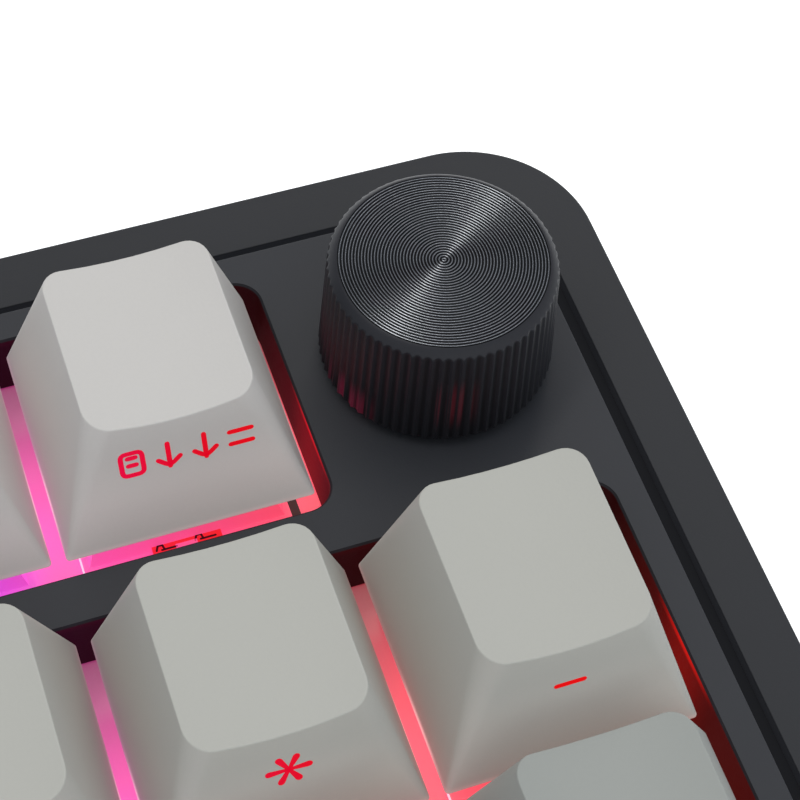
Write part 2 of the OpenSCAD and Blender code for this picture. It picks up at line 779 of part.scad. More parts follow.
module encoder_shaft() color([0.75, 0.76, 0.78]) at_knob() {
  slab(stub_z, collar_z + cut / 2) d_shape(stub_d, stub_flat);
  block_round(collar_d, collar_z, collar_z + collar_t);
  block_round(shaft_d, collar_z, flat_z);
  slab(flat_z - cut, shaft_z) d_shape(shaft_d, flat_x);
}

module knob_insert() color([0.12, 0.12, 0.13]) at_knob() difference() {
  block_round(insert_d, insert_z, insert_top);
  slab(insert_z - cut, insert_top + cut) d_shape(shaft_d + fit, flat_x + fit / 2);
}

knob_r = knob_d / 2;
knob_top_r = knob_top_d / 2;
knob_lean = atan((knob_r - knob_top_r) / (knob_h - shoulder[0]));
ring_p = face_r / face_rings;
face_points = [for (i = [0 : face_rings - 1]) each
  [[face_r - i * ring_p, knob_h], [face_r - (i + 0.5) * ring_p, knob_h - ring_d]]];

module knob() color([0.17, 0.18, 0.2]) at_knob() translate([0, 0, knob_z])
  difference() {
    rotate_extrude($fn = 96) polygon(concat([[0, 0], [knob_r - foot_bevel, 0],
      [knob_r, foot_bevel], [knob_top_r, knob_h - shoulder[0]],
      [knob_top_r - shoulder_in, knob_h - shoulder[1]], [face_r + face_rim, knob_h]],
      face_points, [[0, knob_h]]));
    for (i = [0 : flutes - 1]) rotate(i * 360 / flutes)
      translate([knob_r + flute_r - flute_d, 0, 0]) rotate([0, -knob_lean, 0])
        translate([0, 0, -1]) cylinder(r = flute_r, h = knob_h + 2, $fn = 24);
    block_round(insert_d + fit, -cut, insert_top - knob_z + fit);
    difference() {
      block_round(2 * (knob_top_r - knob_wall), -cut, knob_hollow);
      block_round(knob_core_d, insert_z - knob_z, knob_hollow + cut);
    }
  }

// Fasteners and what stands on the desk
module case_screws() color([0.55, 0.56, 0.58]) deck() for (b = bosses) translate(b)
  difference() {
    union() {
      block_round(screw_head_d, screw_seat - screw_head_t, screw_seat);
      block_round(screw_d, screw_seat - cut, boss_z + 3.8);
    }
    translate([0, 0, screw_seat - screw_head_t - cut])
      cylinder(d = 2.2, h = 0.9 + cut, $fn = 6);
  }

module rubber_pads() color([0.1, 0.1, 0.11]) for (p = pads) translate([p[0], p[1]])
  slab(0, pad_t + pad_sink) rounded(pad_size[0], pad_size[1], 2);

module flip_foot(side) translate([side * foot_x, foot_y, pin_z]) {
  rotate([0, 90, 0]) {
    cylinder(d = foot_t, h = foot_w, center = true, $fn = 48);
    cylinder(d = pin_d, h = foot_w + 2 * (foot_gap + pin_l - run), center = true, $fn = 32);
  }
  difference() {
    translate([-foot_w / 2, tip_t - foot_l, -foot_t / 2]) cube([foot_w, foot_l - tip_t, foot_t]);
    translate([-foot_w / 2 + 5, 3 - foot_l, -foot_t / 2 - cut])
      cube([foot_w - 10, foot_l - 7, foot_t / 2 + cut]);
  }
}

module foot_tip(side) translate([side * foot_x, foot_y - foot_l, pin_z])
  translate([-foot_w / 2 + 1, 0, -foot_t / 2 + 0.3]) cube([foot_w - 2, tip_t, foot_t - 0.6]);

module left_foot() color([0.2, 0.2, 0.21]) flip_foot(-1);
module right_foot() color([0.2, 0.2, 0.21]) flip_foot(1);
module left_foot_tip() color([0.09, 0.09, 0.1]) foot_tip(-1);
module right_foot_tip() color([0.09, 0.09, 0.1]) foot_tip(1);

top_case();
trim_ring();
bottom_case();
switch_plate();
plate_foam();
circuit_board();
case_foam();
gasket_strips();
switch_bottoms();
switch_tops();
stabiliser_housings();
stabiliser_wires();
key_leds();
encoder_body();
encoder_rotor();
encoder_shaft();
knob_insert();
knob();
usb_socket();
case_screws();
rubber_pads();
left_foot();
right_foot();
left_foot_tip();
right_foot_tip();
for (g = groups) keys(g[1]);
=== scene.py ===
"""Looks of a full-size gaming keyboard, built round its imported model.

The CAD nodes carry the structure. This script gives them their finishes and models
what shows from close by: the upper shell with its rounded edges, the keycaps with
their lit marks, the turned and fluted knob, and the light of the board.
"""

import json
import math

import bpy
from bpy.props import FloatProperty, FloatVectorProperty, IntProperty, PointerProperty
from mathutils import Matrix, Vector
from mathutils.geometry import tessellate_polygon


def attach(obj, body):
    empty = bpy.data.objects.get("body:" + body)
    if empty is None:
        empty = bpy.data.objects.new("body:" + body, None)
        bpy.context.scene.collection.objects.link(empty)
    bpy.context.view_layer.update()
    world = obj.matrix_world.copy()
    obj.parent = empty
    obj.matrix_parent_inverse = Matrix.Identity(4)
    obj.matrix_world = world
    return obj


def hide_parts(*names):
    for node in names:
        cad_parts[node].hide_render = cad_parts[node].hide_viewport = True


bl_info = {
    "name": "Gaming Keyboard Looks",
    "version": (1, 0, 0),
    "blender": (4, 5, 0),
    "location": "View3D > Sidebar > Keyboard",
    "description": "Shell, keycaps, knob, board light and studio for a keyboard model",
    "category": "Object",
}

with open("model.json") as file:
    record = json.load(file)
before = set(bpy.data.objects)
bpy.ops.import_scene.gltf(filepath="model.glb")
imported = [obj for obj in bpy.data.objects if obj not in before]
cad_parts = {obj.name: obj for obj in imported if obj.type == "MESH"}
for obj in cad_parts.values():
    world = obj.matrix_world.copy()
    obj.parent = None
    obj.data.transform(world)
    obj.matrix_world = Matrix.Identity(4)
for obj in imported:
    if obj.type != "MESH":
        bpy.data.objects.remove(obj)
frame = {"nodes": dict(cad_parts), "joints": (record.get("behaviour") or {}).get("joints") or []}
JOINTS = {joint["name"]: joint for joint in frame["joints"]}
TILT = math.asin(JOINTS["esc_press"]["axis"][1])


def length(name, default, description):
    """A size in metres with the default given in millimetres."""
    return FloatProperty(name=name, default=default / 1000, precision=5,
                         description=description, unit="LENGTH")


def angle(name, default, description):
    """An angle in radians with the default given in degrees."""
    return FloatProperty(name=name, default=math.radians(default),
                         description=description, subtype="ANGLE")


def number(name, default, description, unit="NONE"):
    return FloatProperty(name=name, default=default, description=description,
                         unit=unit, soft_min=0.0)


def colour(name, default, description):
    return FloatVectorProperty(name=name, default=default, description=description,
                               subtype="COLOR", min=0.0, max=1.0)


class KeyboardCase(bpy.types.PropertyGroup):
    """Sizes and colours of the shells, in the tilted frame of the deck"""

    width: length("Width", 385.3125, "Outer width of the case")
    depth: length("Depth", 139.35, "Outer depth of the case along the deck")
    corner: length("Corner radius", 10.0, "Radius of the case's corners")
    lift: length("Lift", 21.0, "Height of the switch plate's middle above the desk")
    shift: length("Shift", -1.2089867, "Place of the deck's middle along the depth")
    wall: length("Wall", 3.0, "Thickness of the outer walls")
    split: length("Split", 3.5, "Depth of the joint between the shells")
    frame_top: length("Frame height", 4.1, "Height of the outer frame")
    panel_top: length("Panel height", 6.2, "Height of the inner panel")
    frame_width: length("Frame width", 4.3, "Width of the frame at the sides")
    frame_ends: length("Frame ends", 0.45, "Extra width at the front and rear")
    channel: length("Channel width", 1.95, "Width of the channel")
    channel_depth: length("Channel depth", 1.6, "Depth of the channel")
    roof: length("Roof height", 1.0, "Height of the panel's underside")
    well_room: length("Well room", 1.22, "Gap between the outer skirts and a well")
    well_corner: length("Well corner", 2.0, "Corner radius of a well")
    lip: length("Lip bevel", 0.15, "Bevel round a well")
    edge: length("Edge fillet", 0.22, "Rounding of the case's outer edges")
    shell: colour("Shell", (0.0286, 0.0298, 0.0348), "Colour of the shells")
    panel: colour("Panel", (0.0372, 0.0388, 0.0456), "Colour of the inner panel")
    roughness: number("Roughness", 0.55, "Roughness of the shells")
    # Share of the colour kept by the channel's dark strip and by the wells' walls, where it is
    # painted shade
    strip_tone_and_wall_shade: number("Channel tone", 0.2, "Share of the colour in the channel")


class KeyboardCaps(bpy.types.PropertyGroup):
    """Sizes and colours of the keycaps"""

    pitch: length("Pitch", 19.05, "Distance between neighbouring keys")
    function_pitch: length("Function pitch", 24.22, "Number row to function row")
    number_row: length("Number row", 25.99, "Number row's place on the deck")
    gap: length("Gap", 1.0, "Gap between neighbouring skirts")
    skirt: length("Skirt height", 6.0, "Height of the skirts over the plate")
    lean_side: length("Side lean", 3.1, "How far the sides lean in")
    lean_front: length("Front lean", 3.4, "How far the front leans in")
    lean_rear: length("Rear lean", 0.96, "How far the rear leans in, on 10 mm")
    dish: length("Dish", 0.7, "Depth of the dish")
    skirt_corner: length("Skirt corner", 0.3, "Corner radius at the skirt")
    crown_corner: length("Crown corner", 1.75, "Corner radius at the top")
    rim: length("Rim", 0.1, "Softness of the top's edge")
    wall: length("Wall", 1.3, "Thickness of a cap's wall")
    roof: length("Roof", 1.2, "Thickness of a cap's top")
    pale: colour("Pale plastic", (0.629, 0.595, 0.57), "Colour of the upper caps")
    middle: colour("Plastic", (0.497, 0.4825, 0.443), "Colour of the letter caps")
    deep: colour("Deep plastic", (0.352, 0.36, 0.341), "Colour of the outer caps")
    # Painted light that lifts the shade at a cap's foot, tinted a little by the board's light
    painted_foot_light: number("Soft glow", 0.17, "Light that shines through a cap's foot")
    roughness: number("Roughness", 0.6, "Roughness of the caps")
    stem: colour("Stem", (0.42, 0.02, 0.02), "Colour of the sliders")


class KeyboardMarks(bpy.types.PropertyGroup):
    """Sizes of the lit marks on the keys' fronts"""

    height: length("Height", 1.9, "Height of a letter")
    width: length("Width", 1.5, "Width of a letter")
    space: length("Space", 1.05, "Space between two letters")
    stroke: length("Stroke", 0.39, "Width of a stroke")
    proud: length("Proud", 0.02, "How far a mark stands out of its cap")
    place: number("Place", 0.644, "Place along the front's slant, from the skirt")
    word_place: number("Word place", 0.66, "The same for marks of several symbols")
    word_shift: length("Word shift", 0.45, "How far those marks stand to the right")
    sign_shift: length("Sign shift", -0.2, "How far the minus stands to the right")
    glow: number("Glow", 0.72, "Strength of the marks' light")


class KeyboardKnob(bpy.types.PropertyGroup):
    """Sizes and colours of the knob"""

    foot_radius: length("Foot radius", 8.65, "Radius at the foot")
    top_radius: length("Top radius", 8.25, "Radius at the shoulder")
    height: length("Height", 10.2, "Height of the knob")
    lift: length("Gap", 0.75, "Gap between the knob and the panel")
    face_radius: length("Face radius", 7.46, "Radius of the turned face")
    shoulder: length("Shoulder", 0.66, "Height of the rounded shoulder")
    ring_depth: length("Ring depth", 0.05, "Depth of the turned rings")
    flute_depth: length("Flute depth", 0.14, "Depth of the flutes")
    rings: IntProperty(name="Rings", default=33, min=1, description="Turned rings")
    flutes: IntProperty(name="Flutes", default=72, min=3, description="Flutes")
    metal: colour("Metal", (0.138, 0.149, 0.171), "Colour of the turned face")
    coat: colour("Side", (0.0225, 0.0236, 0.0293), "Colour of the anodised side")
    # The grooves' share of the colour paints their shade
    groove: number("Grooves", 0.12, "Share of the colour in the rings' grooves")
    sheen: number("Red sheen", 0.06, "Light of the board on the knob's foot")
    roughness: number("Roughness", 0.225, "Roughness of the metal")


class KeyboardLight(bpy.types.PropertyGroup):
    """Strengths of the light that the board throws between the caps"""

    plate: number("Plate", 0.78, "Light on the switch plate")
    housing: number("Housings", 0.8, "Light in the clear housings")
    wall: number("Well walls", 0.03, "Light on the wells' walls")
    spot: number("Well spots", 0.1, "Light on the walls beside a lamp")
    glint: number("Well glint", 0.4, "Light along the walls' upper edges")
    rim: number("Skirt rim", 0.7, "Light in the caps' lower rims")


class KeyboardStudio(bpy.types.PropertyGroup):
    """Camera, lamps and floor"""

    lens: number("Lens", 94.15, "Focal length on a 36 mm sensor", "CAMERA")
    azimuth: angle("Azimuth", 23.532, "Direction of the view, from +Y towards +X")
    elevation: angle("Elevation", 56.661, "How far the view looks down to the deck")
    roll: angle("Roll", 5.104, "Turn of the camera about its view")
    key: number("Key light", 3.75, "Power of the overhead softbox", "POWER")
    streak: number("Strip light", 1.2, "Power of the strip over the knob", "POWER")
    fill: number("Fill light", 2.5, "Power of the fill light", "POWER")
    ambient: number("Ambient", 0.67, "Strength of the surrounding light")
    warm: colour("Lamps", (1.0, 0.955, 0.86), "Colour of the lamps")
    cool: colour("Surroundings", (0.82, 0.91, 1.0), "Colour of the ambient light")
    flag: angle("Flag", 7.0, "Direction of the dark flag, from +X")
    floor: colour("Floor", (0.86, 0.86, 0.86), "Colour of the floor")


def sizes(name):
    return getattr(bpy.context.scene, name)


def deck():
    """The matrix from the deck's frame to the row's frame."""
    case = sizes("keyboard_case")
    place = Matrix.Translation((0.0, case.shift, case.lift))
    return place @ Matrix.Rotation(TILT, 4, "X")


# Node graphs


class Graph:
    """Adds linked nodes to a node tree."""

    def __init__(self, tree):
        self.tree = tree
        self.outside = None
        self.column = 0

    def add(self, kind, values=None, **settings):
        node = self.tree.nodes.new(kind)
        node.location = (180 * self.column, -220 * (self.column % 4))
        self.column += 1
        for name, value in settings.items():
            setattr(node, name, value)
        for key, value in (values or {}).items():
            if isinstance(value, bpy.types.NodeSocket):
                self.tree.links.new(value, node.inputs[key])
            else:
                node.inputs[key].default_value = value
        return node

    def math(self, operation, *values, clamp=False):
        node = self.add("ShaderNodeMath", dict(enumerate(values)),
                        operation=operation, use_clamp=clamp)
        return node.outputs[0]

    def product(self, first, *others):
        for other in others:
            first = self.math("MULTIPLY", first, other)
        return first

    def rest(self, value):
        return self.math("SUBTRACT", 1.0, value)

    def vector(self, operation, *values):
        node = self.add("ShaderNodeVectorMath", dict(enumerate(values)),
                        operation=operation)
        plain_number = operation in ("DOT_PRODUCT", "LENGTH")
        return node.outputs["Value" if plain_number else "Vector"]

    def scaled(self, vector, factor):
        node = self.add("ShaderNodeVectorMath", {0: vector, "Scale": factor},
                        operation="SCALE")
        return node.outputs[0]

    def parts(self, vector):
        return self.add("ShaderNodeSeparateXYZ", {0: vector}).outputs

    def ramp(self, value, low, high):
        """Smooth step from 0 at low to 1 at high."""
        node = self.add("ShaderNodeMapRange",
                        {"Value": value, "From Min": low, "From Max": high},
                        interpolation_type="SMOOTHSTEP")
        return node.outputs[0]

    def mix(self, factor, first, second, blend="MIX"):
        node = self.add("ShaderNodeMix", {0: factor, 6: first, 7: second},
                        data_type="RGBA", blend_type=blend)
        return node.outputs[2]

    def noise(self, place, scale, detail):
        values = {"Vector": place, "Scale": scale, "Detail": detail}
        return self.add("ShaderNodeTexNoise", values).outputs[0]

    def object_place(self):
        return self.add("ShaderNodeTexCoord").outputs["Object"]

    def give(self, values):
        """Links a group's outputs, and gives its tree."""
        for label, socket in values.items():
            self.tree.links.new(socket, self.outside.inputs[label])
        return self.tree


def rgba(values):
    return (*values, 1.0)


def dimmed(base, share):
    return [share * part for part in base]


WHITE = rgba((1.0, 1.0, 1.0))


def group_graph(name, inputs, outputs, kind="ShaderNodeTree"):
    """The graph of a new node group with these sockets, and its inputs inside."""
    g = Graph(bpy.data.node_groups.new(name, kind))
    for label, socket, *value in inputs:
        made = g.tree.interface.new_socket(
            label, in_out="INPUT", socket_type="NodeSocket" + socket)
        if value:
            made.default_value = value[0]
    for label, socket in outputs:
        g.tree.interface.new_socket(
            label, in_out="OUTPUT", socket_type="NodeSocket" + socket)
    inside = g.add("NodeGroupInput").outputs
    g.outside = g.add("NodeGroupOutput")
    return g, inside


def shape_graph(name, inputs):
    """The same for a Geometry Nodes tree, which gives one geometry."""
    return group_graph(name, inputs, [("Geometry", "Geometry")], "GeometryNodeTree")


def deck_place_group():
    """Where a point lies in the deck's frame, in millimetres."""
    g, _ = group_graph("Deck place", [], [(axis, "Float") for axis in "XYZ"])
    case = sizes("keyboard_case")
    local = g.add(
        "ShaderNodeMapping",
        {"Vector": g.object_place(), "Location": (0, case.shift, case.lift),
         "Rotation": (TILT, 0, 0)},
        vector_type="TEXTURE",
    ).outputs[0]
    parts = g.parts(g.scaled(local, 1000))
    return g.give({axis: parts[axis] for axis in "XYZ"})


def moulded_grain_group():
    """Fine grain of moulded or blasted surfaces with a slow variation of tone."""
    g, inside = group_graph(
        "Moulded grain",
        [
            ("Colour", "Color", (0.5, 0.5, 0.5, 1)),
            ("Tone", "Float", 0.05),
            ("Roughness", "Float", 0.5),
            ("Roughness Spread", "Float", 0.08),
            ("Grain Scale", "Float", 6000.0),
            ("Grain Depth", "Float", 0.00001),
        ],
        [("Colour", "Color"), ("Roughness", "Float"), ("Normal", "Vector")],
    )
    place = g.object_place()
    fine = g.noise(place, inside["Grain Scale"], 2.0)
    slow = g.noise(place, 90.0, 3.0)

    def swing(pattern, amount):
        return g.product(g.math("SUBTRACT", pattern, 0.5), inside[amount])

    level = g.math("ADD", 1.0, g.math("ADD", swing(slow, "Tone"), swing(fine, "Tone")))
    rough = g.math("ADD", inside["Roughness"], swing(fine, "Roughness Spread"),
                   clamp=True)
    bump = g.add(
        "ShaderNodeBump",
        {"Height": fine, "Distance": inside["Grain Depth"], "Strength": 1.0},
    ).outputs[0]
    return g.give({"Colour": g.scaled(inside["Colour"], level), "Roughness": rough,
                   "Normal": bump})


# Place along the rows in millimetres, and the colour of the board's light there
HUES = [
    (-192, (1.0, 0.2, 0.03)),
    (-140, (0.62, 0.62, 0.04)),
    (-80, (0.05, 0.75, 0.2)),
    (0, (0.02, 0.5, 0.85)),
    (80, (0.06, 0.12, 1.0)),
    (128, (0.28, 0.04, 1.0)),
    (138, (0.7, 0.05, 0.85)),
    (147, (1.0, 0.06, 0.42)),
    (160, (1.0, 0.06, 0.16)),
    (174, (1.0, 0.07, 0.07)),
    (192, (1.0, 0.07, 0.04)),
]
# A lamp's distance in front of its row's middle and how far it reaches, in mm
LAMP_PLACE, LAMP_REACH = 4.0, 5.2
# Where a row's caps begin and end to shade the light behind them, and how much
SHADE_START, SHADE_END, SHADE = -2.0, 10.0, 0.7


def board_light_group():
    """Colour and strength of the board's light; Shift moves its colours, in mm."""
    g, inside = group_graph(
        "Board light",
        [("Shift", "Float", 0.0), ("Depth", "Float", 1.0)],
        [("Colour", "Color"), ("Lamp", "Float"), ("Open", "Float")],
    )
    place = g.add("ShaderNodeGroup", node_tree=shared("place")).outputs
    low, high = HUES[0][0], HUES[-1][0]
    along = g.add(
        "ShaderNodeMapRange",
        {"Value": g.math("ADD", place["X"], inside["Shift"]),
         "From Min": low, "From Max": high},
    ).outputs[0]
    ramp = g.add("ShaderNodeValToRGB", {0: along})
    stops = ramp.color_ramp.elements
    for x_mm, _ in HUES[1:-1]:
        stops.new((x_mm - low) / (high - low))
    for stop, (_, hue) in zip(stops, HUES):
        stop.color = rgba(hue)
    deep = g.add("ShaderNodeGamma", {0: ramp.outputs[0], 1: inside["Depth"]})

    # Distance from the nearest row, then from the lamp in front of its middle
    first, second = row_place(0) * 1000, row_place(1) * 1000
    pitch = sizes("keyboard_caps").pitch * 1000
    upper = g.math("GREATER_THAN", place["Y"], (first + second) / 2)
    from_row = g.math("SUBTRACT", g.math("SUBTRACT", place["Y"], second),
                      g.product(upper, first - second))
    lamp = g.math("PINGPONG", g.math("ADD", from_row, LAMP_PLACE + 8 * pitch),
                  pitch / 2)
    shaded = g.product(g.ramp(from_row, SHADE_START, SHADE_END), SHADE)
    return g.give({"Colour": deep.outputs[0],
                   "Lamp": g.rest(g.ramp(lamp, 0.0, LAMP_REACH)),
                   "Open": g.rest(shaded)})


GROUPS = {}


def shared(name):
    """The shared node group of that name, built the first time it is asked for."""
    makers = {
        "place": deck_place_group,
        "grain": moulded_grain_group,
        "light": board_light_group,
    }
    if name not in GROUPS:
        GROUPS[name] = makers[name]()
    return GROUPS[name]


class Finish:
    """A material with one Principled BSDF, made of the shared groups."""

    def __init__(self, name, **constants):
        self.material = bpy.data.materials.new(name)
        self.material.use_nodes = True
        self.graph = Graph(self.material.node_tree)
        self.shader = self.material.node_tree.nodes["Principled BSDF"]
        for key, value in constants.items():
            self.shader.inputs[key.replace("_", " ")].default_value = value

    def group(self, name, values=None):
        group = self.graph.add("ShaderNodeGroup", values, node_tree=shared(name))
        return group.outputs

    def feed(self, **sockets):
        for key, socket in sockets.items():
            self.graph.tree.links.new(
                socket, self.shader.inputs[key.replace("_", " ")])
        return self

    def grain(self, base, roughness, tone=0.06, spread=0.08, scale=6000.0, depth=1e-5):
        made = self.group(
            "grain",
            {"Colour": base, "Tone": tone, "Roughness": roughness,
             "Roughness Spread": spread, "Grain Scale": scale, "Grain Depth": depth},
        )
        return self.feed(Base_Color=made["Colour"], Roughness=made["Roughness"],
                         Normal=made["Normal"])

    def board(self, shift, depth):
        """The board's light on this surface: its colour, lamp spots and open part."""
        return self.group("light", {"Shift": shift, "Depth": depth})

    def emit(self, light):
        self.shader.inputs["Emission Strength"].default_value = 1.0
        return self.feed(Emission_Color=light)

    def glow(self, hue, strength):
        return self.emit(self.graph.mix(1.0, hue, strength, "MULTIPLY"))


# Grain of the case, and how glossy its plastic and that of the wells are
MOULDED = {"tone": 0.09, "spread": 0.1, "scale": 5200.0}
SATIN = {"Specular_IOR_Level": 0.2}
MATT = {"Specular_IOR_Level": 0.1}


def plain(name, base, roughness, grain=None, **constants):
    """A finish of one colour with its grain."""
    finish = Finish(name, **constants)
    return finish.grain(rgba(base), roughness, **(grain or {})).material


def metal(name, base, roughness):
    return plain(name, base, roughness, Metallic=1.0)


def wall_finish(name):
    """The wells' walls, painted dark as shade, with painted light of the board beside the lamps
    and a painted glint on top.
    """
    case, light = sizes("keyboard_case"), sizes("keyboard_light")
    finish = Finish(name, **MATT)
    g = finish.graph
    board = finish.board(shift=4.0, depth=1.7)
    even = g.product(board["Open"], light.wall)
    spots = g.math("MULTIPLY_ADD", board["Lamp"], light.spot, even)

    # The glint fades in over half a millimetre under the walls' upper edges
    top = (case.panel_top - case.lip) * 1000
    height = finish.group("place")["Z"]
    line = g.product(g.ramp(height, top - 0.75, top - 0.25), board["Lamp"])
    finish.glow(board["Colour"], g.math("MULTIPLY_ADD", line, light.glint, spots))
    # The walls keep only a share of the shell's colour: painted shade in the wells
    base = dimmed(case.shell, case.strip_tone_and_wall_shade)
    return finish.grain(rgba(base), 0.6, tone=0.09).material


# Caps: the rim's light between lamps and its share of white, the foot's share of the board's
# colour, and how much less painted light the sides' feet get
RIM_EVEN, RIM_WHITE, FOOT_TINT, SIDE_SHADE = 0.15, 0.35, 0.06, 0.9


def cap_finish(name, plastic):
    """Fine-grained plastic; its foot glows with painted light that lifts its shade, tinted a
    little by the board's light shining through.
    """
    caps, light = sizes("keyboard_caps"), sizes("keyboard_light")
    finish = Finish(name, **SATIN)
    g = finish.graph
    height = finish.group("place")["Z"]
    board = finish.board(shift=8.0, depth=0.8)
    skirt = caps.skirt * 1000

    # The skirt's edge shines, most of all over the lamps
    edge = g.rest(g.ramp(height, skirt + 0.05, skirt + 0.55))
    spots = g.math("MULTIPLY_ADD", board["Lamp"], 1.0 - RIM_EVEN, RIM_EVEN)
    rim = g.scaled(g.mix(RIM_WHITE, board["Colour"], WHITE),
                   g.product(edge, spots, light.rim))

    # Painted light lifts the foot's shade, fading upwards, less on a cap's left and right side
    normal = g.add("ShaderNodeNewGeometry").outputs["Normal"]
    aside = g.math("ABSOLUTE", g.parts(normal)["X"])
    foot = g.product(g.ramp(height, skirt + 8.5, skirt + 3.5),
                     g.math("MULTIPLY_ADD", aside, -SIDE_SHADE, 1.0))
    through = g.scaled(g.mix(FOOT_TINT, rgba(plastic), board["Colour"]),
                       g.product(foot, caps.painted_foot_light))
    finish.emit(g.vector("ADD", rim, through))
    return finish.grain(rgba(plastic), caps.roughness, tone=0.035, spread=0.1,
                        scale=4200.0, depth=0.5e-5).material


def lit_finish(name, base, roughness, strength, shift=0.0, depth=1.0, spots=0.0,
               **constants):
    """A surface that shows the board's light, more so beside the lamps."""
    finish = Finish(name, **constants)
    g = finish.graph
    board = finish.board(shift, depth)
    wave = g.math("MULTIPLY_ADD", g.noise(g.object_place(), 160.0, 1.0), 0.2, 0.9)
    even = g.product(wave, board["Open"])
    mixed = g.math("MULTIPLY_ADD", board["Lamp"], spots, even)
    finish.glow(board["Colour"], g.product(mixed, strength))
    return finish.grain(rgba(base), roughness).material


# Meshes


def mesh_object(name, points, faces, material=None, smooth=True, slots=None):
    mesh = bpy.data.meshes.new(name)
    mesh.from_pydata([tuple(p) for p in points], [], faces)
    mesh.update()
    if smooth:
        mesh.shade_smooth()
    for finish in material if isinstance(material, list) else [material]:
        if finish:
            mesh.materials.append(finish)
    if slots:
        mesh.polygons.foreach_set("material_index", slots)
    return linked(name, mesh)


def linked(name, data):
    made = bpy.data.objects.new(name, data)
    bpy.context.scene.collection.objects.link(made)
    return made


def plain_mesh(made):
    """Replaces a live modifier's result by the mesh that it gives."""
    graph = bpy.context.evaluated_depsgraph_get()
    result = bpy.data.meshes.new_from_object(made.evaluated_get(graph))
    result.name = made.name
    made.modifiers.clear()
    old, made.data = made.data, result
    bpy.data.meshes.remove(old)
    return made


def joined(name, parts):
    """One object of several meshes, which share their materials."""
    with bpy.context.temp_override(
        active_object=parts[0], selected_editable_objects=parts, object=parts[0]
    ):
        bpy.ops.object.join()
    parts[0].name = parts[0].data.name = name
    return parts[0]


def rounded(corners, radii, arc_steps=8, edge_stops=(0.0, 0.5, 1.0), support=0.0):
    """Points and inward normals of a counter-clockwise outline with round corners."""
    points, inward = [], []
    count = len(corners)
    for i, corner in enumerate(corners):
        follower = corners[(i + 1) % count]
        a = (corner - corners[i - 1]).normalized()
        b = (follower - corner).normalized()
        turn = 1.0 if a.x * b.y > a.y * b.x else -1.0
        left = Vector((-a.y, a.x))
        centre = corner + (left * turn - a) * radii[i]
        for step in range(arc_steps + 1):
            angle = math.pi / 2 * step / arc_steps
            out = a * math.sin(angle) - left * (turn * math.cos(angle))
            points.append(centre + out * radii[i])
            inward.append(out * -turn)
        start = corner + b * radii[i]
        end = follower - b * radii[(i + 1) % count]
        near = start + b * support
        far = end - b * support
        for stop in edge_stops if support else edge_stops[1:-1]:
            points.append(near.lerp(far, stop))
            inward.append(Vector((-b.y, b.x)))
    return points, inward


def box_corners(x0, x1, y0, y1):
    """Corners of a rectangle, counter-clockwise from the front left."""
    return [Vector(p) for p in ((x0, y0), (x1, y0), (x1, y1), (x0, y1))]


class Surface:
    """Collects rings of equally many points and the faces between them."""

    def __init__(self):
        self.points = []
        self.faces = []
        self.slots = []

    def fill(self, slot):
        """Gives the faces made since the last call their material slot."""
        self.slots += [slot] * (len(self.faces) - len(self.slots))

    def ring(self, flat, z):
        """Adds a ring; z is a height or one for each point. Gives its first index."""
        start = len(self.points)
        heights = z if isinstance(z, list) else [z] * len(flat)
        self.points += [(p.x, p.y, h) for p, h in zip(flat, heights)]
        return start

    def bridge(self, lower, upper, count):
        for i in range(count):
            j = (i + 1) % count
            self.faces.append((lower + i, lower + j, upper + j, upper + i))

    def pole(self, ring, count, point, top):
        self.points.append(tuple(point))
        tip = len(self.points) - 1
        for i in range(count):
            a, b = ring + i, ring + (i + 1) % count
            self.faces.append((a, b, tip) if top else (b, a, tip))

    def sheet(self, loops, up):
        """Flat faces between an outer loop and the holes in it."""
        runs = [[Vector(self.points[i]) for i in range(start, start + count)]
                for start, count in loops]
        names = [i for start, count in loops for i in range(start, start + count)]
        for a, b, c in tessellate_polygon(runs):
            p, q, r = (Vector(self.points[names[k]]) for k in (a, b, c))
            if ((q - p).cross(r - p).z > 0) != up:
                b, c = c, b
            self.faces.append((names[a], names[b], names[c]))


# The keys: body -> [centre, row, width and depth in units, mark]


def run(left, row, width, marks):
    return [(left + (i + 0.5) * width, row, width, 1, mark)
            for i, mark in enumerate(marks)]


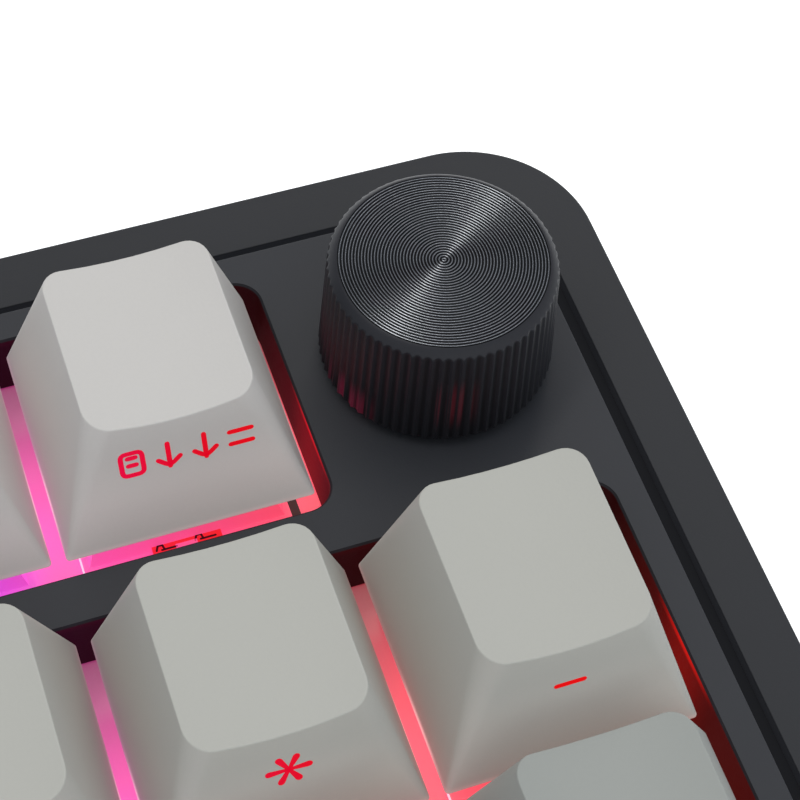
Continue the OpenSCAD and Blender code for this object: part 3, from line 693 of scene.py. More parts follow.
PAD = 15.25
KEYS = {
    "esc_key": run(0, 0, 1, ["ring"]),
    "function_keys": run(1.25, 0, 1, ["F1", "F2", "F3", "F4"])
    + run(5.5, 0, 1, ["F5", "F6", "F7", "F8"])
    + run(9.75, 0, 1, ["F9", "F10", "F11", "F12"]),
    "delete_key": run(14, 0, 1, ["delete"]),
    "home_key": run(PAD, 0, 1, ["home"]),
    "page_up_key": run(PAD + 1, 0, 1, ["page up"]),
    "page_down_key": run(PAD + 2, 0, 1, ["page down"]),
    "number_keys": run(0, 1, 1, ["|", *"1234567890", "'", "="]),
    "backspace_key": run(13, 1, 2, ["left"]),
    "pad_lock_key": run(PAD, 1, 1, ["lock"]),
    "pad_divide_key": run(PAD + 1, 1, 1, ["/"]),
    "pad_multiply_key": run(PAD + 2, 1, 1, ["*"]),
    "pad_minus_key": run(PAD + 3, 1, 1, ["-"]),
    "upper_keys": run(0, 2, 1.5, ["tab"]) + run(1.5, 2, 1, [*"QWERTYUIOP", "<", "+"]),
    "enter_key": [(14.375, 2.5, 1.25, 2, "enter")],
    "pad_7_key": run(PAD, 2, 1, ["7"]),
    "pad_8_key": run(PAD + 1, 2, 1, ["8"]),
    "pad_9_key": run(PAD + 2, 2, 1, ["9"]),
    "pad_plus_key": [(PAD + 3.5, 2.5, 1, 2, "+")],
    "home_row_keys": run(0, 3, 1.75, ["caps"])
    + run(1.75, 3, 1, [*"ASDFGHJKL", ";", "'", "#"]),
    "pad_4_key": run(PAD, 3, 1, ["4"]),
    "pad_5_key": run(PAD + 1, 3, 1, ["5"]),
    "pad_6_key": run(PAD + 2, 3, 1, ["6"]),
    "lower_keys": run(0, 4, 1.25, ["shift"])
    + run(1.25, 4, 1, ["<", *"ZXCVBNM", ",", ".", "-"])
    + run(12.25, 4, 1.75, ["shift"]),
    "up_key": run(14, 4, 1, ["up"]),
    "pad_1_key": run(PAD, 4, 1, ["1"]),
    "pad_2_key": run(PAD + 1, 4, 1, ["2"]),
    "pad_3_key": run(PAD + 2, 4, 1, ["3"]),
    "pad_enter_key": [(PAD + 3.5, 4.5, 1, 2, "enter")],
    "modifier_keys": run(0, 5, 1.25, ["hat", "diamond", "branch"])
    + run(10, 5, 1, ["branch", "menu", "hat"]),
    "space_key": run(3.75, 5, 6.25, [""]),
    "left_key": run(13, 5, 1, ["left"]),
    "down_key": run(14, 5, 1, ["down"]),
    "right_key": run(15, 5, 1, ["right"]),
    "pad_0_key": run(PAD + 1, 5, 1, ["0"]),
    "pad_point_key": run(PAD + 2, 5, 1, ["."]),
}
# Height and slope of a cap's top by row, and those of the two-unit-deep keys
CAP_TOPS = {0: (10.15, 0), 1: (10.4, 0), 2: (7.6, 2.5), 2.5: (7.7, 0.5),
            3: (7.1, 4.5), 4: (7.3, 8), 4.5: (7.3, 3), 5: (7.3, 8)}
# The enter key's wing, in units
WING = 0.25
# Space bar: radius of its crown, and how far that lies above and behind the middle
CROWN_RADIUS, CROWN_RISE, CROWN_SHIFT = 0.034, 0.0002, 0.001
# The height over which a cap's rear lean is given
LEAN_HEIGHT = 0.010
# Least corner radius, corner in the enter key's step, and how much it grows upwards
LEAST_CORNER, STEP_CORNER, STEP_SPREAD = 0.0001, 0.0005, 0.0006
# Distance of a line that keeps a corner crisp, and rounding of the skirt's edge
SUPPORT, SOFT = 0.0002, 0.00005
# Rings of a cap: as shares of its height, of the curve over its top's edge, and of the
# way from the top's middle to that edge
SIDE_LEVELS, EDGE_PARTS = (0.3, 0.62), (0.0, 0.22, 0.42, 0.6, 0.8, 1.0)
TOP_PARTS = (0.988, 0.86, 0.6, 0.3)
# Faces that meet at more than this are shown with a sharp edge
CAP_SHARP = math.radians(60)

# Keys of the deep tone
DEEP = {"backspace_key", "enter_key", "modifier_keys", "pad_plus_key",
        "pad_enter_key"}


def tone_of(body):
    """The function row is pale, the modifiers are deep and the rest lies between."""
    if body in DEEP:
        return "deep"
    return "pale" if KEYS[body][0][1] == 0 else "middle"


def row_place(row):
    caps = sizes("keyboard_caps")
    step = caps.function_pitch if row < 1 else caps.pitch
    return caps.number_row + (1 - row) * step


def key_place(centre, row):
    grid = PAD + 4
    return (centre - grid / 2) * sizes("keyboard_caps").pitch, row_place(row)


def well_rects():
    """The wells as x0, x1, y0, y1 on the deck."""
    caps = sizes("keyboard_caps")
    half = (caps.pitch - caps.gap) / 2
    room = sizes("keyboard_case").well_room
    left = key_place(0, 0)[0] + caps.gap / 2 - room
    end = key_place(PAD + 3, 0)[0] - caps.gap / 2 + room
    top, bottom = row_place(0), row_place(5)
    return [
        (left, end, top - half - room, top + half + room),
        (left, -left, bottom - half - room, row_place(1) + half + room),
    ]


def curved(start, bend, end, part):
    """A point of the short curve that cuts a corner."""
    return start.lerp(bend, part).lerp(bend.lerp(end, part), part)


def cap_points(width, depth, row, wing=0.0, crowned=False):
    """Points and faces of a cap whose key stands at the origin of the deck."""
    caps = sizes("keyboard_caps")
    height, slope = CAP_TOPS[row][0] / 1000, math.tan(math.radians(CAP_TOPS[row][1]))
    x1 = (width * caps.pitch - caps.gap) / 2
    y1 = (depth * caps.pitch - caps.gap) / 2
    x0, y0 = -x1, -y1
    middle = -wing / 2
    half = (x1 - x0 + wing) / 2 - caps.lean_side
    lean_rear = caps.lean_rear * height / LEAN_HEIGHT
    bow = (half * half + caps.dish**2) / (2 * caps.dish)

    def outline(shrink, inset):
        """Ring of the side faces; shrink is 0 at the skirt and 1 at the top."""
        left, right = x0 + shrink * caps.lean_side, x1 - shrink * caps.lean_side
        front, rear = y0 + shrink * caps.lean_front, y1 - shrink * lean_rear
        bend = caps.skirt_corner + shrink * (caps.crown_corner - caps.skirt_corner)
        corners = box_corners(left + inset, right - inset, front + inset, rear - inset)
        radii = [max(bend - inset, LEAST_CORNER)] * 4
        if wing:
            step = caps.gap / 2 + shrink * caps.lean_front + inset
            corners[3:] = [Vector((left - wing + inset, rear - inset)),
                           Vector((left - wing + inset, step)),
                           Vector((left + inset, step))]
            inner = STEP_CORNER + shrink * STEP_SPREAD + inset
            radii = radii[:3] + [radii[3], radii[3], inner]
        stops = (0.0, 0.2, 0.4, 0.6, 0.8, 1.0)
        return rounded(corners, radii, arc_steps=7, edge_stops=stops, support=SUPPORT)

    def top(p):
        if crowned:
            return height + CROWN_RISE - CROWN_RADIUS + math.sqrt(
                CROWN_RADIUS**2 - (p.y - CROWN_SHIFT) ** 2)
        x = p.x - middle
        return (height - caps.dish + bow - math.sqrt(bow * bow - x * x)
                - p.y * slope)

    skirt, normals = outline(0.0, 0.0)
    crown, _ = outline(1.0, 0.0)
    count = len(skirt)
    surface = Surface()

    # Underside: the roof of the cavity, its walls and the skirt's edge
    share = 1 - (caps.roof + caps.dish) / height
    under, _ = outline(share, caps.wall)
    foot, _ = outline(0.0, caps.wall)
    rings = [surface.ring(under, [top(p) - caps.roof - caps.dish for p in under]),
             surface.ring(foot, 0.0)]
    hub = Vector((0.0, y1 * 0.25)) if wing else Vector((0.0, 0.0))
    surface.pole(rings[0], count, (*hub, top(hub) - caps.roof), False)

    # Outer side: each point follows its slanted line up to the top surface
    rings.append(surface.ring([p + n * SOFT for p, n in zip(skirt, normals)], 0.0))
    peaks = []
    for low, high in zip(skirt, crown):
        z = height
        for _ in range(4):
            z = min(top(low.lerp(high, z / height)), 1.3 * height)
        peaks.append((low.lerp(high, z / height), z))
    for level in (SOFT / height, 2.6 * SOFT / height, *SIDE_LEVELS):
        ring = [low.lerp(peak, level) for low, (peak, _) in zip(skirt, peaks)]
        rings.append(surface.ring(ring, [level * z for _, z in peaks]))
    supports, starts, ends = [], [], []
    for low, (peak, z), normal in zip(skirt, peaks, normals):
        side = Vector((low.x - peak.x, low.y - peak.y, -z)).normalized()
        starts.append(Vector((*peak, z)) + side * caps.rim)
        supports.append(starts[-1] + side * (SUPPORT / 2))
        inner = peak + normal * caps.rim
        ends.append(Vector((*inner, top(inner))))
    rings.append(surface.ring([p.xy for p in supports], [p.z for p in supports]))
    tips = [Vector((*peak, z)) for peak, z in peaks]
    for part in EDGE_PARTS:
        ring = [curved(*three, part) for three in zip(starts, tips, ends)]
        rings.append(surface.ring([p.xy for p in ring], [p.z for p in ring]))
    for part in TOP_PARTS:
        ring = [hub.lerp(p.xy, part) for p in ends]
        rings.append(surface.ring(ring, [top(p) for p in ring]))
    surface.pole(rings[-1], count, (*hub, top(hub)), True)
    for low, high in zip(rings, rings[1:]):
        surface.bridge(low, high, count)
    return [(x, y, z + caps.skirt) for x, y, z in surface.points], surface.faces


BOX_FACES = ((3, 2, 1, 0), (4, 5, 6, 7), (0, 1, 5, 4), (1, 2, 6, 5), (2, 3, 7, 6),
             (3, 0, 4, 7))


def boxes(*measures):
    """Boxes on a key's axis, each by its width, depth and two heights in mm."""
    points, faces = [], []
    for x, y, low, high in measures:
        start = len(points)
        points += [(sx * x / 2000, sy * y / 2000, z / 1000) for z in (low, high)
                   for sx, sy in ((-1, -1), (1, -1), (1, 1), (-1, 1))]
        faces += [tuple(start + i for i in face) for face in BOX_FACES]
    return points, faces


# The slider under a cap: its body, its collar and the two bars of its cross
SLIDER = ((6.9, 5.5, 4.7, 6.2), (9.0, 5.5, 1.6, 4.7), (4.1, 1.2, 6.2, 9.8),
          (1.2, 4.1, 6.2, 9.8))


# Marks: polylines on a grid, with their corners rounded; a first 0 closes a line
GRID_WIDE, GRID_HIGH = 6, 9
GLYPHS = {
    "A": "00 39 60/14 54", "B": "00 09 59 55 05/45 65 60 00", "C": "69 09 00 60",
    "D": "00 09 39 66 63 30 00", "E": "69 09 00 60/05 55", "F": "69 09 00/05 55",
    "G": "69 09 00 60 64 34", "H": "00 09/60 69/05 65", "I": "30 39",
    "J": "69 60 00 03", "K": "00 09/69 05 60", "L": "09 00 60", "M": "00 09 34 69 60",
    "N": "00 09 60 69", "O": "0 09 69 60 00", "P": "00 09 69 64 04",
    "Q": "0 09 69 60 00/33 60", "R": "00 09 69 64 04/34 60", "S": "69 09 05 65 60 00",
    "T": "09 69/39 30", "U": "09 00 60 69", "V": "09 30 69", "W": "09 10 36 50 69",
    "X": "00 69/09 60", "Y": "09 35 69/35 30", "Z": "09 69 00 60",
    "0": "0 09 69 60 00", "1": "17 39 30", "2": "09 69 65 05 00 60",
    "3": "09 69 60 00/15 65", "4": "49 03 63/47 40", "5": "69 09 05 55 60 00",
    "6": "69 09 00 60 65 05", "7": "09 69 20", "8": "0 05 65 60 00/05 09 69 65",
    "9": "64 04 09 69 60 00", "-": "05 65", "+": "05 65/38 32", "/": "10 59",
    "=": "03 63/06 66", ".": "30 31", ",": "31 20",
    ";": "36 37/31 20", "'": "39 36", "#": "10 29/40 59/03 63/06 66",
    "|": "30 39", "<": "68 05 62",
    "up": "30 39/06 39 66", "down": "39 30/03 30 63", "left": "65 05/38 05 32",
    "right": "05 65/38 65 32", "home": "60 09/04 09 59", "tab": "05 55/27 55 23/68 62",
    "shift": "0 20 24 04 39 64 44 40 20", "caps": "0 23 25 05 39 65 45 43 23/20 40",
    "enter": "69 64 04/27 04 21", "hat": "04 39 64", "diamond": "0 05 39 65 31 05",
    "branch": "08 28 41 61/48 68", "menu": "08 68/05 65/02 62",
    "lock": "0 00 05 65 60 00/15 19 59 55", "ring": "0 00 09 69 60 00/22 47",
    "delete": "0 05 39 69 60 30 05", "sheet": "0 00 09 69 60 00/27 47/24 44",
    "bars": "07 67/02 62",
}
WORDS = {"page up": ["sheet", "up", "up", "bars"],
         "page down": ["sheet", "down", "down", "bars"]}


# How deep a stroke's foot sits in its cap, and its top's width as a share
SUNK, TOP_SHARE = 0.00006, 0.9
# A stroke's round end: places along it and widths, in halves of its width
END_PLACES, END_WIDTHS = (-1.0, -0.8, -0.4, 0.1), (0.3, 0.66, 0.92, 1.0)
# Marks of one symbol are larger; the bend is the rounding of a stroke's corner, at most
# a share of the lines beside it
SINGLE, BEND, BEND_SHARE = 1.25, 0.0004, 0.45
# Star: length of its level and slanted arms, width and how much they taper
STAR_LEVEL, STAR_SLANTED, STAR_WIDTH, STAR_TAPER = 0.00128, 0.00112, 0.68, 0.16


def soft_path(points, closed, bend):
    """The polyline with each inner corner cut by a short curve."""
    count = len(points)
    path = []
    for i, p in enumerate(points):
        if not closed and i in (0, count - 1):
            path.append(p)
            continue
        before, after = points[i - 1] - p, points[(i + 1) % count] - p
        a = p + before.normalized() * min(bend, before.length * BEND_SHARE)
        b = p + after.normalized() * min(bend, after.length * BEND_SHARE)
        path += [curved(a, p, b, part) for part in (0.0, 0.25, 0.5, 0.75, 1.0)]
    return path


def stroke(path, closed, half, points, faces, place, taper=1.0):
    """A flat-topped bead along a path; place gives a point's position on a cap.

    Taper is the width at the path's start, as a share of that at its end.
    """
    proud = sizes("keyboard_marks").proud
    if not closed:
        for end, follower in ((0, 1), (-1, -2)):
            way = (path[follower] - path[end]).normalized()
            tips = [path[end] + way * (half * s) for s in END_PLACES]
            path = tips + path[1:] if end == 0 else path[:-1] + tips[::-1]
    count = len(path)
    first = len(points)
    for i, p in enumerate(path):
        before = path[i - 1] if closed or i else p
        after = path[(i + 1) % count] if closed or i < count - 1 else p
        way = (after - before).normalized()
        side = Vector((-way.y, way.x))
        share = 1.0
        if not closed:
            share = END_WIDTHS[min(i, count - 1 - i, 3)]
            share *= taper + (1.0 - taper) * min(i / (count - 4), 1.0)
        for offset, height in ((1, -SUNK), (TOP_SHARE, proud), (-TOP_SHARE, proud),
                               (-1, -SUNK)):
            points.append(place(p + side * (offset * half * share), height))
    for i in range(count if closed else count - 1):
        a, b = first + 4 * i, first + 4 * ((i + 1) % count)
        for k in range(4):
            m = (k + 1) % 4
            faces.append((a + k, b + k, b + m, a + m))
    if not closed:
        last = first + 4 * (count - 1)
        faces.append(tuple(range(first, first + 4)))
        faces.append(tuple(range(last + 3, last - 1, -1)))


def mark_points(mark, key, points, faces):
    """Strokes of a mark on the front of a key, on the deck."""
    marks, caps = sizes("keyboard_marks"), sizes("keyboard_caps")
    centre, row, _, depth, _ = key
    height = CAP_TOPS[row][0] / 1000
    x, y = key_place(centre, row)
    front = y - (depth * caps.pitch - caps.gap) / 2
    slant = math.hypot(caps.lean_front, height)
    rise = Vector((0.0, caps.lean_front, height)) / slant
    out = Vector((0.0, -height, caps.lean_front)) / slant
    words = mark in WORDS
    part = marks.word_place if words else marks.place
    shift = marks.word_shift if words else marks.sign_shift if mark == "-" else 0.0
    middle = Vector((x + shift, front, caps.skirt)) + rise * (slant * part)

    def place(p, lift):
        return middle + Vector((p.x, 0.0, 0.0)) + rise * p.y + out * lift

    if mark == "*":
        for turn in range(6):
            way = Vector((math.cos(math.radians(60 * turn)),
                          math.sin(math.radians(60 * turn))))
            reach = STAR_SLANTED if turn % 3 else STAR_LEVEL
            stroke([way * (reach * k / 5) for k in range(6)], False,
                   marks.stroke * STAR_WIDTH, points, faces, place, STAR_TAPER)
        return
    names = WORDS.get(mark) or ([mark] if mark in GLYPHS else list(mark))
    scale = SINGLE if len(names) == 1 else 1.0
    wide, high = marks.width * scale, marks.height * scale
    total = len(names) * wide + (len(names) - 1) * marks.space
    for n, name in enumerate(names):
        left = n * (wide + marks.space) - total / 2
        for line in GLYPHS[name].split("/"):
            spots = line.split()
            closed = spots[0] == "0"
            spots = spots[1:] if closed else spots
            path = [Vector((left + int(s[0]) / GRID_WIDE * wide,
                            (int(s[1]) / GRID_HIGH - 0.5) * high)) for s in spots]
            if closed and (path[0] - path[-1]).length < 1e-9:
                path.pop()
            path = soft_path(path, closed, BEND * scale)
            stroke(path, closed, marks.stroke / 2, points, faces, place)


def copies(g, points, shape, material):
    """The shape at each point, as plain geometry with its material."""
    source = g.add("GeometryNodeObjectInfo", {"Object": shape})
    spread = g.add(
        "GeometryNodeInstanceOnPoints",
        {"Points": points, "Instance": source.outputs["Geometry"]},
    ).outputs[0]
    solid = g.add("GeometryNodeRealizeInstances", {0: spread}).outputs[0]
    return painted(g, solid, material)


def painted(g, solid, material):
    return g.add("GeometryNodeSetMaterial",
                 {"Geometry": solid, "Material": material}).outputs[0]


def key_row_tree():
    """Repeats one cap with its slider along a row and gives each its material."""
    g, inside = shape_graph("Key row", [
        ("Cap", "Object"), ("Stem", "Object"), ("Count", "Int", 1),
        ("Pitch", "Float", 0.01905), ("Start", "Vector", (0, 0, 0)),
        ("Cap Material", "Material"), ("Stem Material", "Material")])
    step = g.add("ShaderNodeCombineXYZ", {"X": inside["Pitch"]}).outputs[0]
    line = g.add(
        "GeometryNodeMeshLine",
        {"Count": inside["Count"], "Start Location": inside["Start"], "Offset": step},
    ).outputs[0]
    both = g.add("GeometryNodeJoinGeometry")
    for label in ("Stem", "Cap"):
        g.tree.links.new(
            copies(g, line, inside[label], inside[label + " Material"]),
            both.inputs[0])
    return g.give({"Geometry": both.outputs[0]})


def detail_tree():
    """Copies a small part to every switch."""
    g, inside = shape_graph("Switch details", [
        ("Spots", "Object"), ("Shape", "Object"), ("Material", "Material")])
    spots = g.add("GeometryNodeObjectInfo", {"Object": inside["Spots"]})
    return g.give({"Geometry": copies(
        g, spots.outputs["Geometry"], inside["Shape"], inside["Material"])})


def run_tree(tree, name, values):
    """An object with the plain mesh that a Geometry Nodes tree makes."""
    made = mesh_object(name, [], [])
    modifier = made.modifiers.new(name, "NODES")
    modifier.node_group = tree
    for item in tree.interface.items_tree:
        if item.in_out == "INPUT" and item.name in values:
            modifier[item.identifier] = values[item.name]
    made.update_tag()
    return plain_mesh(made)


def ride_deck(made, body, slot, *nodes):
    """Takes a piece drawn in the deck's frame to its place on the desk."""
    made.data.transform(deck())
    made.data.update()
    if nodes:
        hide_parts(*nodes)
    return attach(made, body)


def drop(*helpers):
    for helper in helpers:
        bpy.data.objects.remove(helper)


def paint(finishes):
    """Gives CAD nodes their finishes."""
    for node, material in finishes.items():
        slots = frame["nodes"][node].data.materials
        slots.clear()
        slots.append(material)


# Operators


# Upper shell: least corner radius, line beside a fillet, fillets of the channel and
# the panel, the rim under a well, and the strip in the channel
LEAST_BEND, EDGE_SUPPORT = 0.0015, 0.00004
GROOVE_EDGE, PANEL_EDGE = 0.0001, 0.00015
RIM_WIDTH, RIM_DEPTH = 0.0012, 0.00075
STRIP_GAP, STRIP_HEIGHT = 0.0001, 0.0008
# Faces that meet at more than this are shown with a sharp edge
SHELL_SHARP, STRIP_SHARP = math.radians(24), math.radians(30)


class KEYBOARD_OT_upper_shell(bpy.types.Operator):
    """Models the upper shell with rounded edges, and the strip in its channel"""

    bl_idname = "keyboard.upper_shell"
    bl_label = "Upper shell"

    def execute(self, context):
        case = sizes("keyboard_case")
        surface = Surface()
        blasted = dict(MOULDED, depth=0.9e-5)
        finishes = [
            plain("case_shell", case.shell, case.roughness, blasted, **SATIN),
            # The channel's walls glow faintly in the panel's colour: painted light that evens
            # out their shade
            plain("channel_wall", case.panel, 0.8, Specular_IOR_Level=0.067,
                  Emission_Color=rgba(case.panel), Emission_Strength=0.2),
            wall_finish("well_wall"),
            # The lip round each well is darker than the panel: a painted shade line at the
            # well's edge
            plain("well_lip", dimmed(case.panel, 0.6), 0.6, **MATT),
            plain("case_panel", case.panel, case.roughness, blasted, **SATIN),
        ]
        shell, channel_wall, well_wall, well_lip, panel_top = range(len(finishes))

        def outline(inset, ends=0.0):
            x, y = case.width / 2 - inset, case.depth / 2 - inset - ends
            bend = max(case.corner - inset, LEAST_BEND)
            return rounded(box_corners(-x, x, -y, y), [bend] * 4, arc_steps=28)[0]

        def loop(inset, z, ends=0.0):
            flat = outline(inset, ends)
            return surface.ring(flat, z), len(flat)

        def fillet(inset, z, radius, way, ends=0.0):
            """Loops of a rounded edge; way is 1 at a rising face, -1 at a falling."""
            stops = [math.pi / 2 * k / 4 for k in range(5)]
            arc = [(radius * (1 - math.cos(a)), radius * (math.sin(a) - 1))
                   for a in stops]
            arc.append((radius + EDGE_SUPPORT, 0.0))
            return [loop(inset + way * part, z + drop, ends)
                    for part, drop in arc[::way]]

        def chain(loops, slot):
            for low, high in zip(loops, loops[1:]):
                surface.bridge(low[0], high[0], low[1])
            surface.fill(slot)

        groove, panel = case.frame_width, case.frame_width + case.channel
        ends, floor = case.frame_ends, case.frame_top - case.channel_depth
        inner = loop(case.wall, case.roof)
        frame_loops = [inner, loop(case.wall, -case.split), loop(0.0, -case.split)]
        frame_loops += fillet(0.0, case.frame_top, case.edge, 1)
        frame_loops += fillet(groove, case.frame_top, GROOVE_EDGE, -1, ends)
        base, foot = loop(groove, floor, ends), loop(panel, floor, ends)
        panel_loops = fillet(panel, case.panel_top, PANEL_EDGE, 1, ends)
        chain(frame_loops, shell)
        chain([frame_loops[-1], base, foot, panel_loops[0]], channel_wall)
        chain(panel_loops, panel_top)
        tops, bottoms = [panel_loops[-1]], [inner]
        low = case.roof - RIM_DEPTH
        for rect in well_rects():

            def well(grow, z):
                corners = box_corners(rect[0] - grow, rect[1] + grow,
                                      rect[2] - grow, rect[3] + grow)
                radii = [case.well_corner + grow] * 4
                flat, _ = rounded(corners, radii, arc_steps=12)
                return surface.ring(flat, z), len(flat)

            lip = [well(0.0, case.panel_top - case.lip),
                   well(case.lip, case.panel_top)]
            wall = [well(RIM_WIDTH, case.roof), well(RIM_WIDTH, low), well(0.0, low),
                    lip[0]]
            chain(wall, well_wall)
            chain(lip, well_lip)
            tops.append(lip[-1])
            bottoms.append(wall[0])
        surface.sheet(tops, True)
        surface.fill(panel_top)
        surface.sheet(bottoms, False)
        surface.fill(shell)
        made = mesh_object("upper_shell", surface.points, surface.faces, finishes,
                           slots=surface.slots)
        made.data.set_sharp_from_angle(angle=SHELL_SHARP)
        ride_deck(made, "case", "case_shell", "top_case")

        strip = Surface()
        inner, outer = panel - STRIP_GAP, groove + STRIP_GAP
        top = floor + STRIP_HEIGHT
        rings = [strip.ring(outline(inset, ends), z) for inset, z in (
            (inner, floor), (outer, floor), (outer, top), (inner, top))]
        for low, high in zip(rings, rings[1:] + rings[:1]):
            strip.bridge(low, high, len(strip.points) // 4)
        # The strip is dark; its faint glow in the panel's colour is painted light that evens out
        # the channel's shade
        finish = plain("channel_strip", dimmed(case.panel, case.strip_tone_and_wall_shade), 0.6,
                       Specular_IOR_Level=0.033, Emission_Color=rgba(case.panel),
                       Emission_Strength=0.16)
        made = mesh_object("channel_strip", strip.points, strip.faces, finish)
        made.data.set_sharp_from_angle(angle=STRIP_SHARP)
        ride_deck(made, "case", "trim", "trim_ring")
        return {"FINISHED"}


class KEYBOARD_OT_lower_shell(bpy.types.Operator):
    """Finishes the lower shell, its feet, pads, screws and the cable's socket"""

    bl_idname = "keyboard.lower_shell"
    bl_label = "Lower shell and feet"

    def execute(self, context):
        case = sizes("keyboard_case")
        shell = plain("lower_shell", case.shell, case.roughness, MOULDED)
        rubber = plain("rubber", (0.018, 0.018, 0.02), 0.82,
                       {"scale": 3000.0, "depth": 3e-5})
        paint({
            "bottom_case": shell, "left_foot": shell, "right_foot": shell,
            "left_foot_tip": rubber, "right_foot_tip": rubber, "rubber_pads": rubber,
            "case_screws": metal("screw_steel", (0.32, 0.32, 0.33), 0.34),
            "usb_socket": metal("plated_steel", (0.62, 0.62, 0.64), 0.28),
        })
        return {"FINISHED"}


class KEYBOARD_OT_inside(bpy.types.Operator):
    """Finishes what lies under the caps: plate, boards, foams and gaskets"""

    bl_idname = "keyboard.inside"
    bl_label = "Plate and boards"

    def execute(self, context):
        foam = plain("foam", (0.025, 0.025, 0.027), 0.95,
                     {"scale": 1500.0, "depth": 1e-4})
        black = (0.02, 0.02, 0.022)
        steel = (0.55, 0.55, 0.57)
        paint({
            "switch_plate": lit_finish(
                "switch_plate", (0.4, 0.4, 0.39), 0.5,
                strength=sizes("keyboard_light").plate, shift=2.0, spots=0.25),
            "plate_foam": foam, "case_foam": foam, "gasket_strips": foam,
            "circuit_board": plain("solder_mask", (0.01, 0.035, 0.025), 0.35,
                                   {"tone": 0.15}),
            "stabiliser_wires": metal("stabiliser_wire", steel, 0.3),
            "stabiliser_housings": plain("stabiliser_housing", black, 0.5),
            "encoder_body": metal("encoder_cover", (0.5, 0.5, 0.52), 0.35),
            "encoder_rotor": plain("rotor", (0.6, 0.58, 0.5), 0.5),
            "encoder_shaft": metal("shaft", steel, 0.3),
            "knob_insert": plain("insert", black, 0.5),
        })
        return {"FINISHED"}


# Contact leaves: their lines in mm, the height of their upper side and half their width
LEAF = (((-0.3, 0), (0.1, 0.9)), ((0.28, 0), (0.1, 0.9)), ((-0.1, 0.36), (0.2, 0.36)),
        ((0.1, -0.03), (1.2, -0.03)))
LEAF_TOP, LEAF_HALF = 0.0013, 0.00008


class KEYBOARD_OT_switches(bpy.types.Operator):
    """Finishes the switch housings and lamps, and adds each switch's light window"""

    bl_idname = "keyboard.switches"
    bl_label = "Switches"

    def execute(self, context):
        clear = lit_finish("clear_housing", (0.45, 0.45, 0.47), 0.3,
                           strength=sizes("keyboard_light").housing, depth=1.1)
        paint({
            "switch_tops": clear, "switch_bottoms": clear,
            "key_leds": lit_finish("lamp", (0.9, 0.9, 0.9), 0.3, strength=1.4),
        })
        window = lit_finish("light_window", (0.3, 0.1, 0.1), 0.3,
                            strength=0.75, shift=14.0, depth=2.0)
        leaf = plain("contact_leaf", (0.06, 0.015, 0.02), 0.4)
        # A thin glowing strip on each housing's left edge: a painted glint
        glint = plain("housing_edge", (0.8, 0.8, 0.8), 0.3,
                      Emission_Color=(1.0, 0.7, 0.9, 1.0), Emission_Strength=0.7)
        # A dark sheet on the plate beside each row's last housing: painted shade where the
        # board's light falls off
        shade = plain("plate_end", (0.09, 0.088, 0.078), 0.5)
        keys = [key for row in KEYS.values() for key in row]
        last = [key for key in keys if key[0] == PAD + (3.5 if key[1] else 2.5)]

        # Name, finish, keys, place on the switch in mm, and the shape
        details = (
            ("light_windows", window, keys, (-0.125, -6.7),
             boxes((5.15, 2.2, 1.0, 1.3))),
            ("clear_bars", clear, keys, (-0.2, -7.52), boxes((1.6, 0.4, 1.0, 1.32))),
            ("housing_edges", glint, keys, (-7.8, -6.7),
             boxes((0.12, 2.2, 0.9, 1.04))),
            ("left_leaves", leaf, keys, (-2.12, -7.45), self.leaf()),
            ("right_leaves", leaf, keys, (0.78, -7.4), self.leaf()),
            ("plate_ends", shade, last, (8.3, -6.7), boxes((0.7, 2.2, 0.0, 0.06))),
        )
        tree = detail_tree()
        parts = []
        for name, material, owners, (dx, dy), shape in details:
            shape = mesh_object("shape", *shape, smooth=False)
            places = [key_place(key[0], key[1]) for key in owners]
            spots = mesh_object("spots", [
                (x + dx / 1000, y + dy / 1000, 0.0) for x, y in places], [])
            parts.append(run_tree(tree, name, {
                "Spots": spots, "Shape": shape, "Material": material}))
            drop(shape, spots)
        ride_deck(joined("light_windows", parts), "case", "led")
        return {"FINISHED"}

    def leaf(self):
        """A contact leaf like a slender A, and its foot."""
        points, faces = [], []

        def place(p, lift):
            return Vector((p.x, p.y, LEAF_TOP + max(lift, 0.0)))

        for line in LEAF:
            path = [Vector(p) / 1000 for p in line]
            stroke(path, False, LEAF_HALF, points, faces, place)
        return points, faces


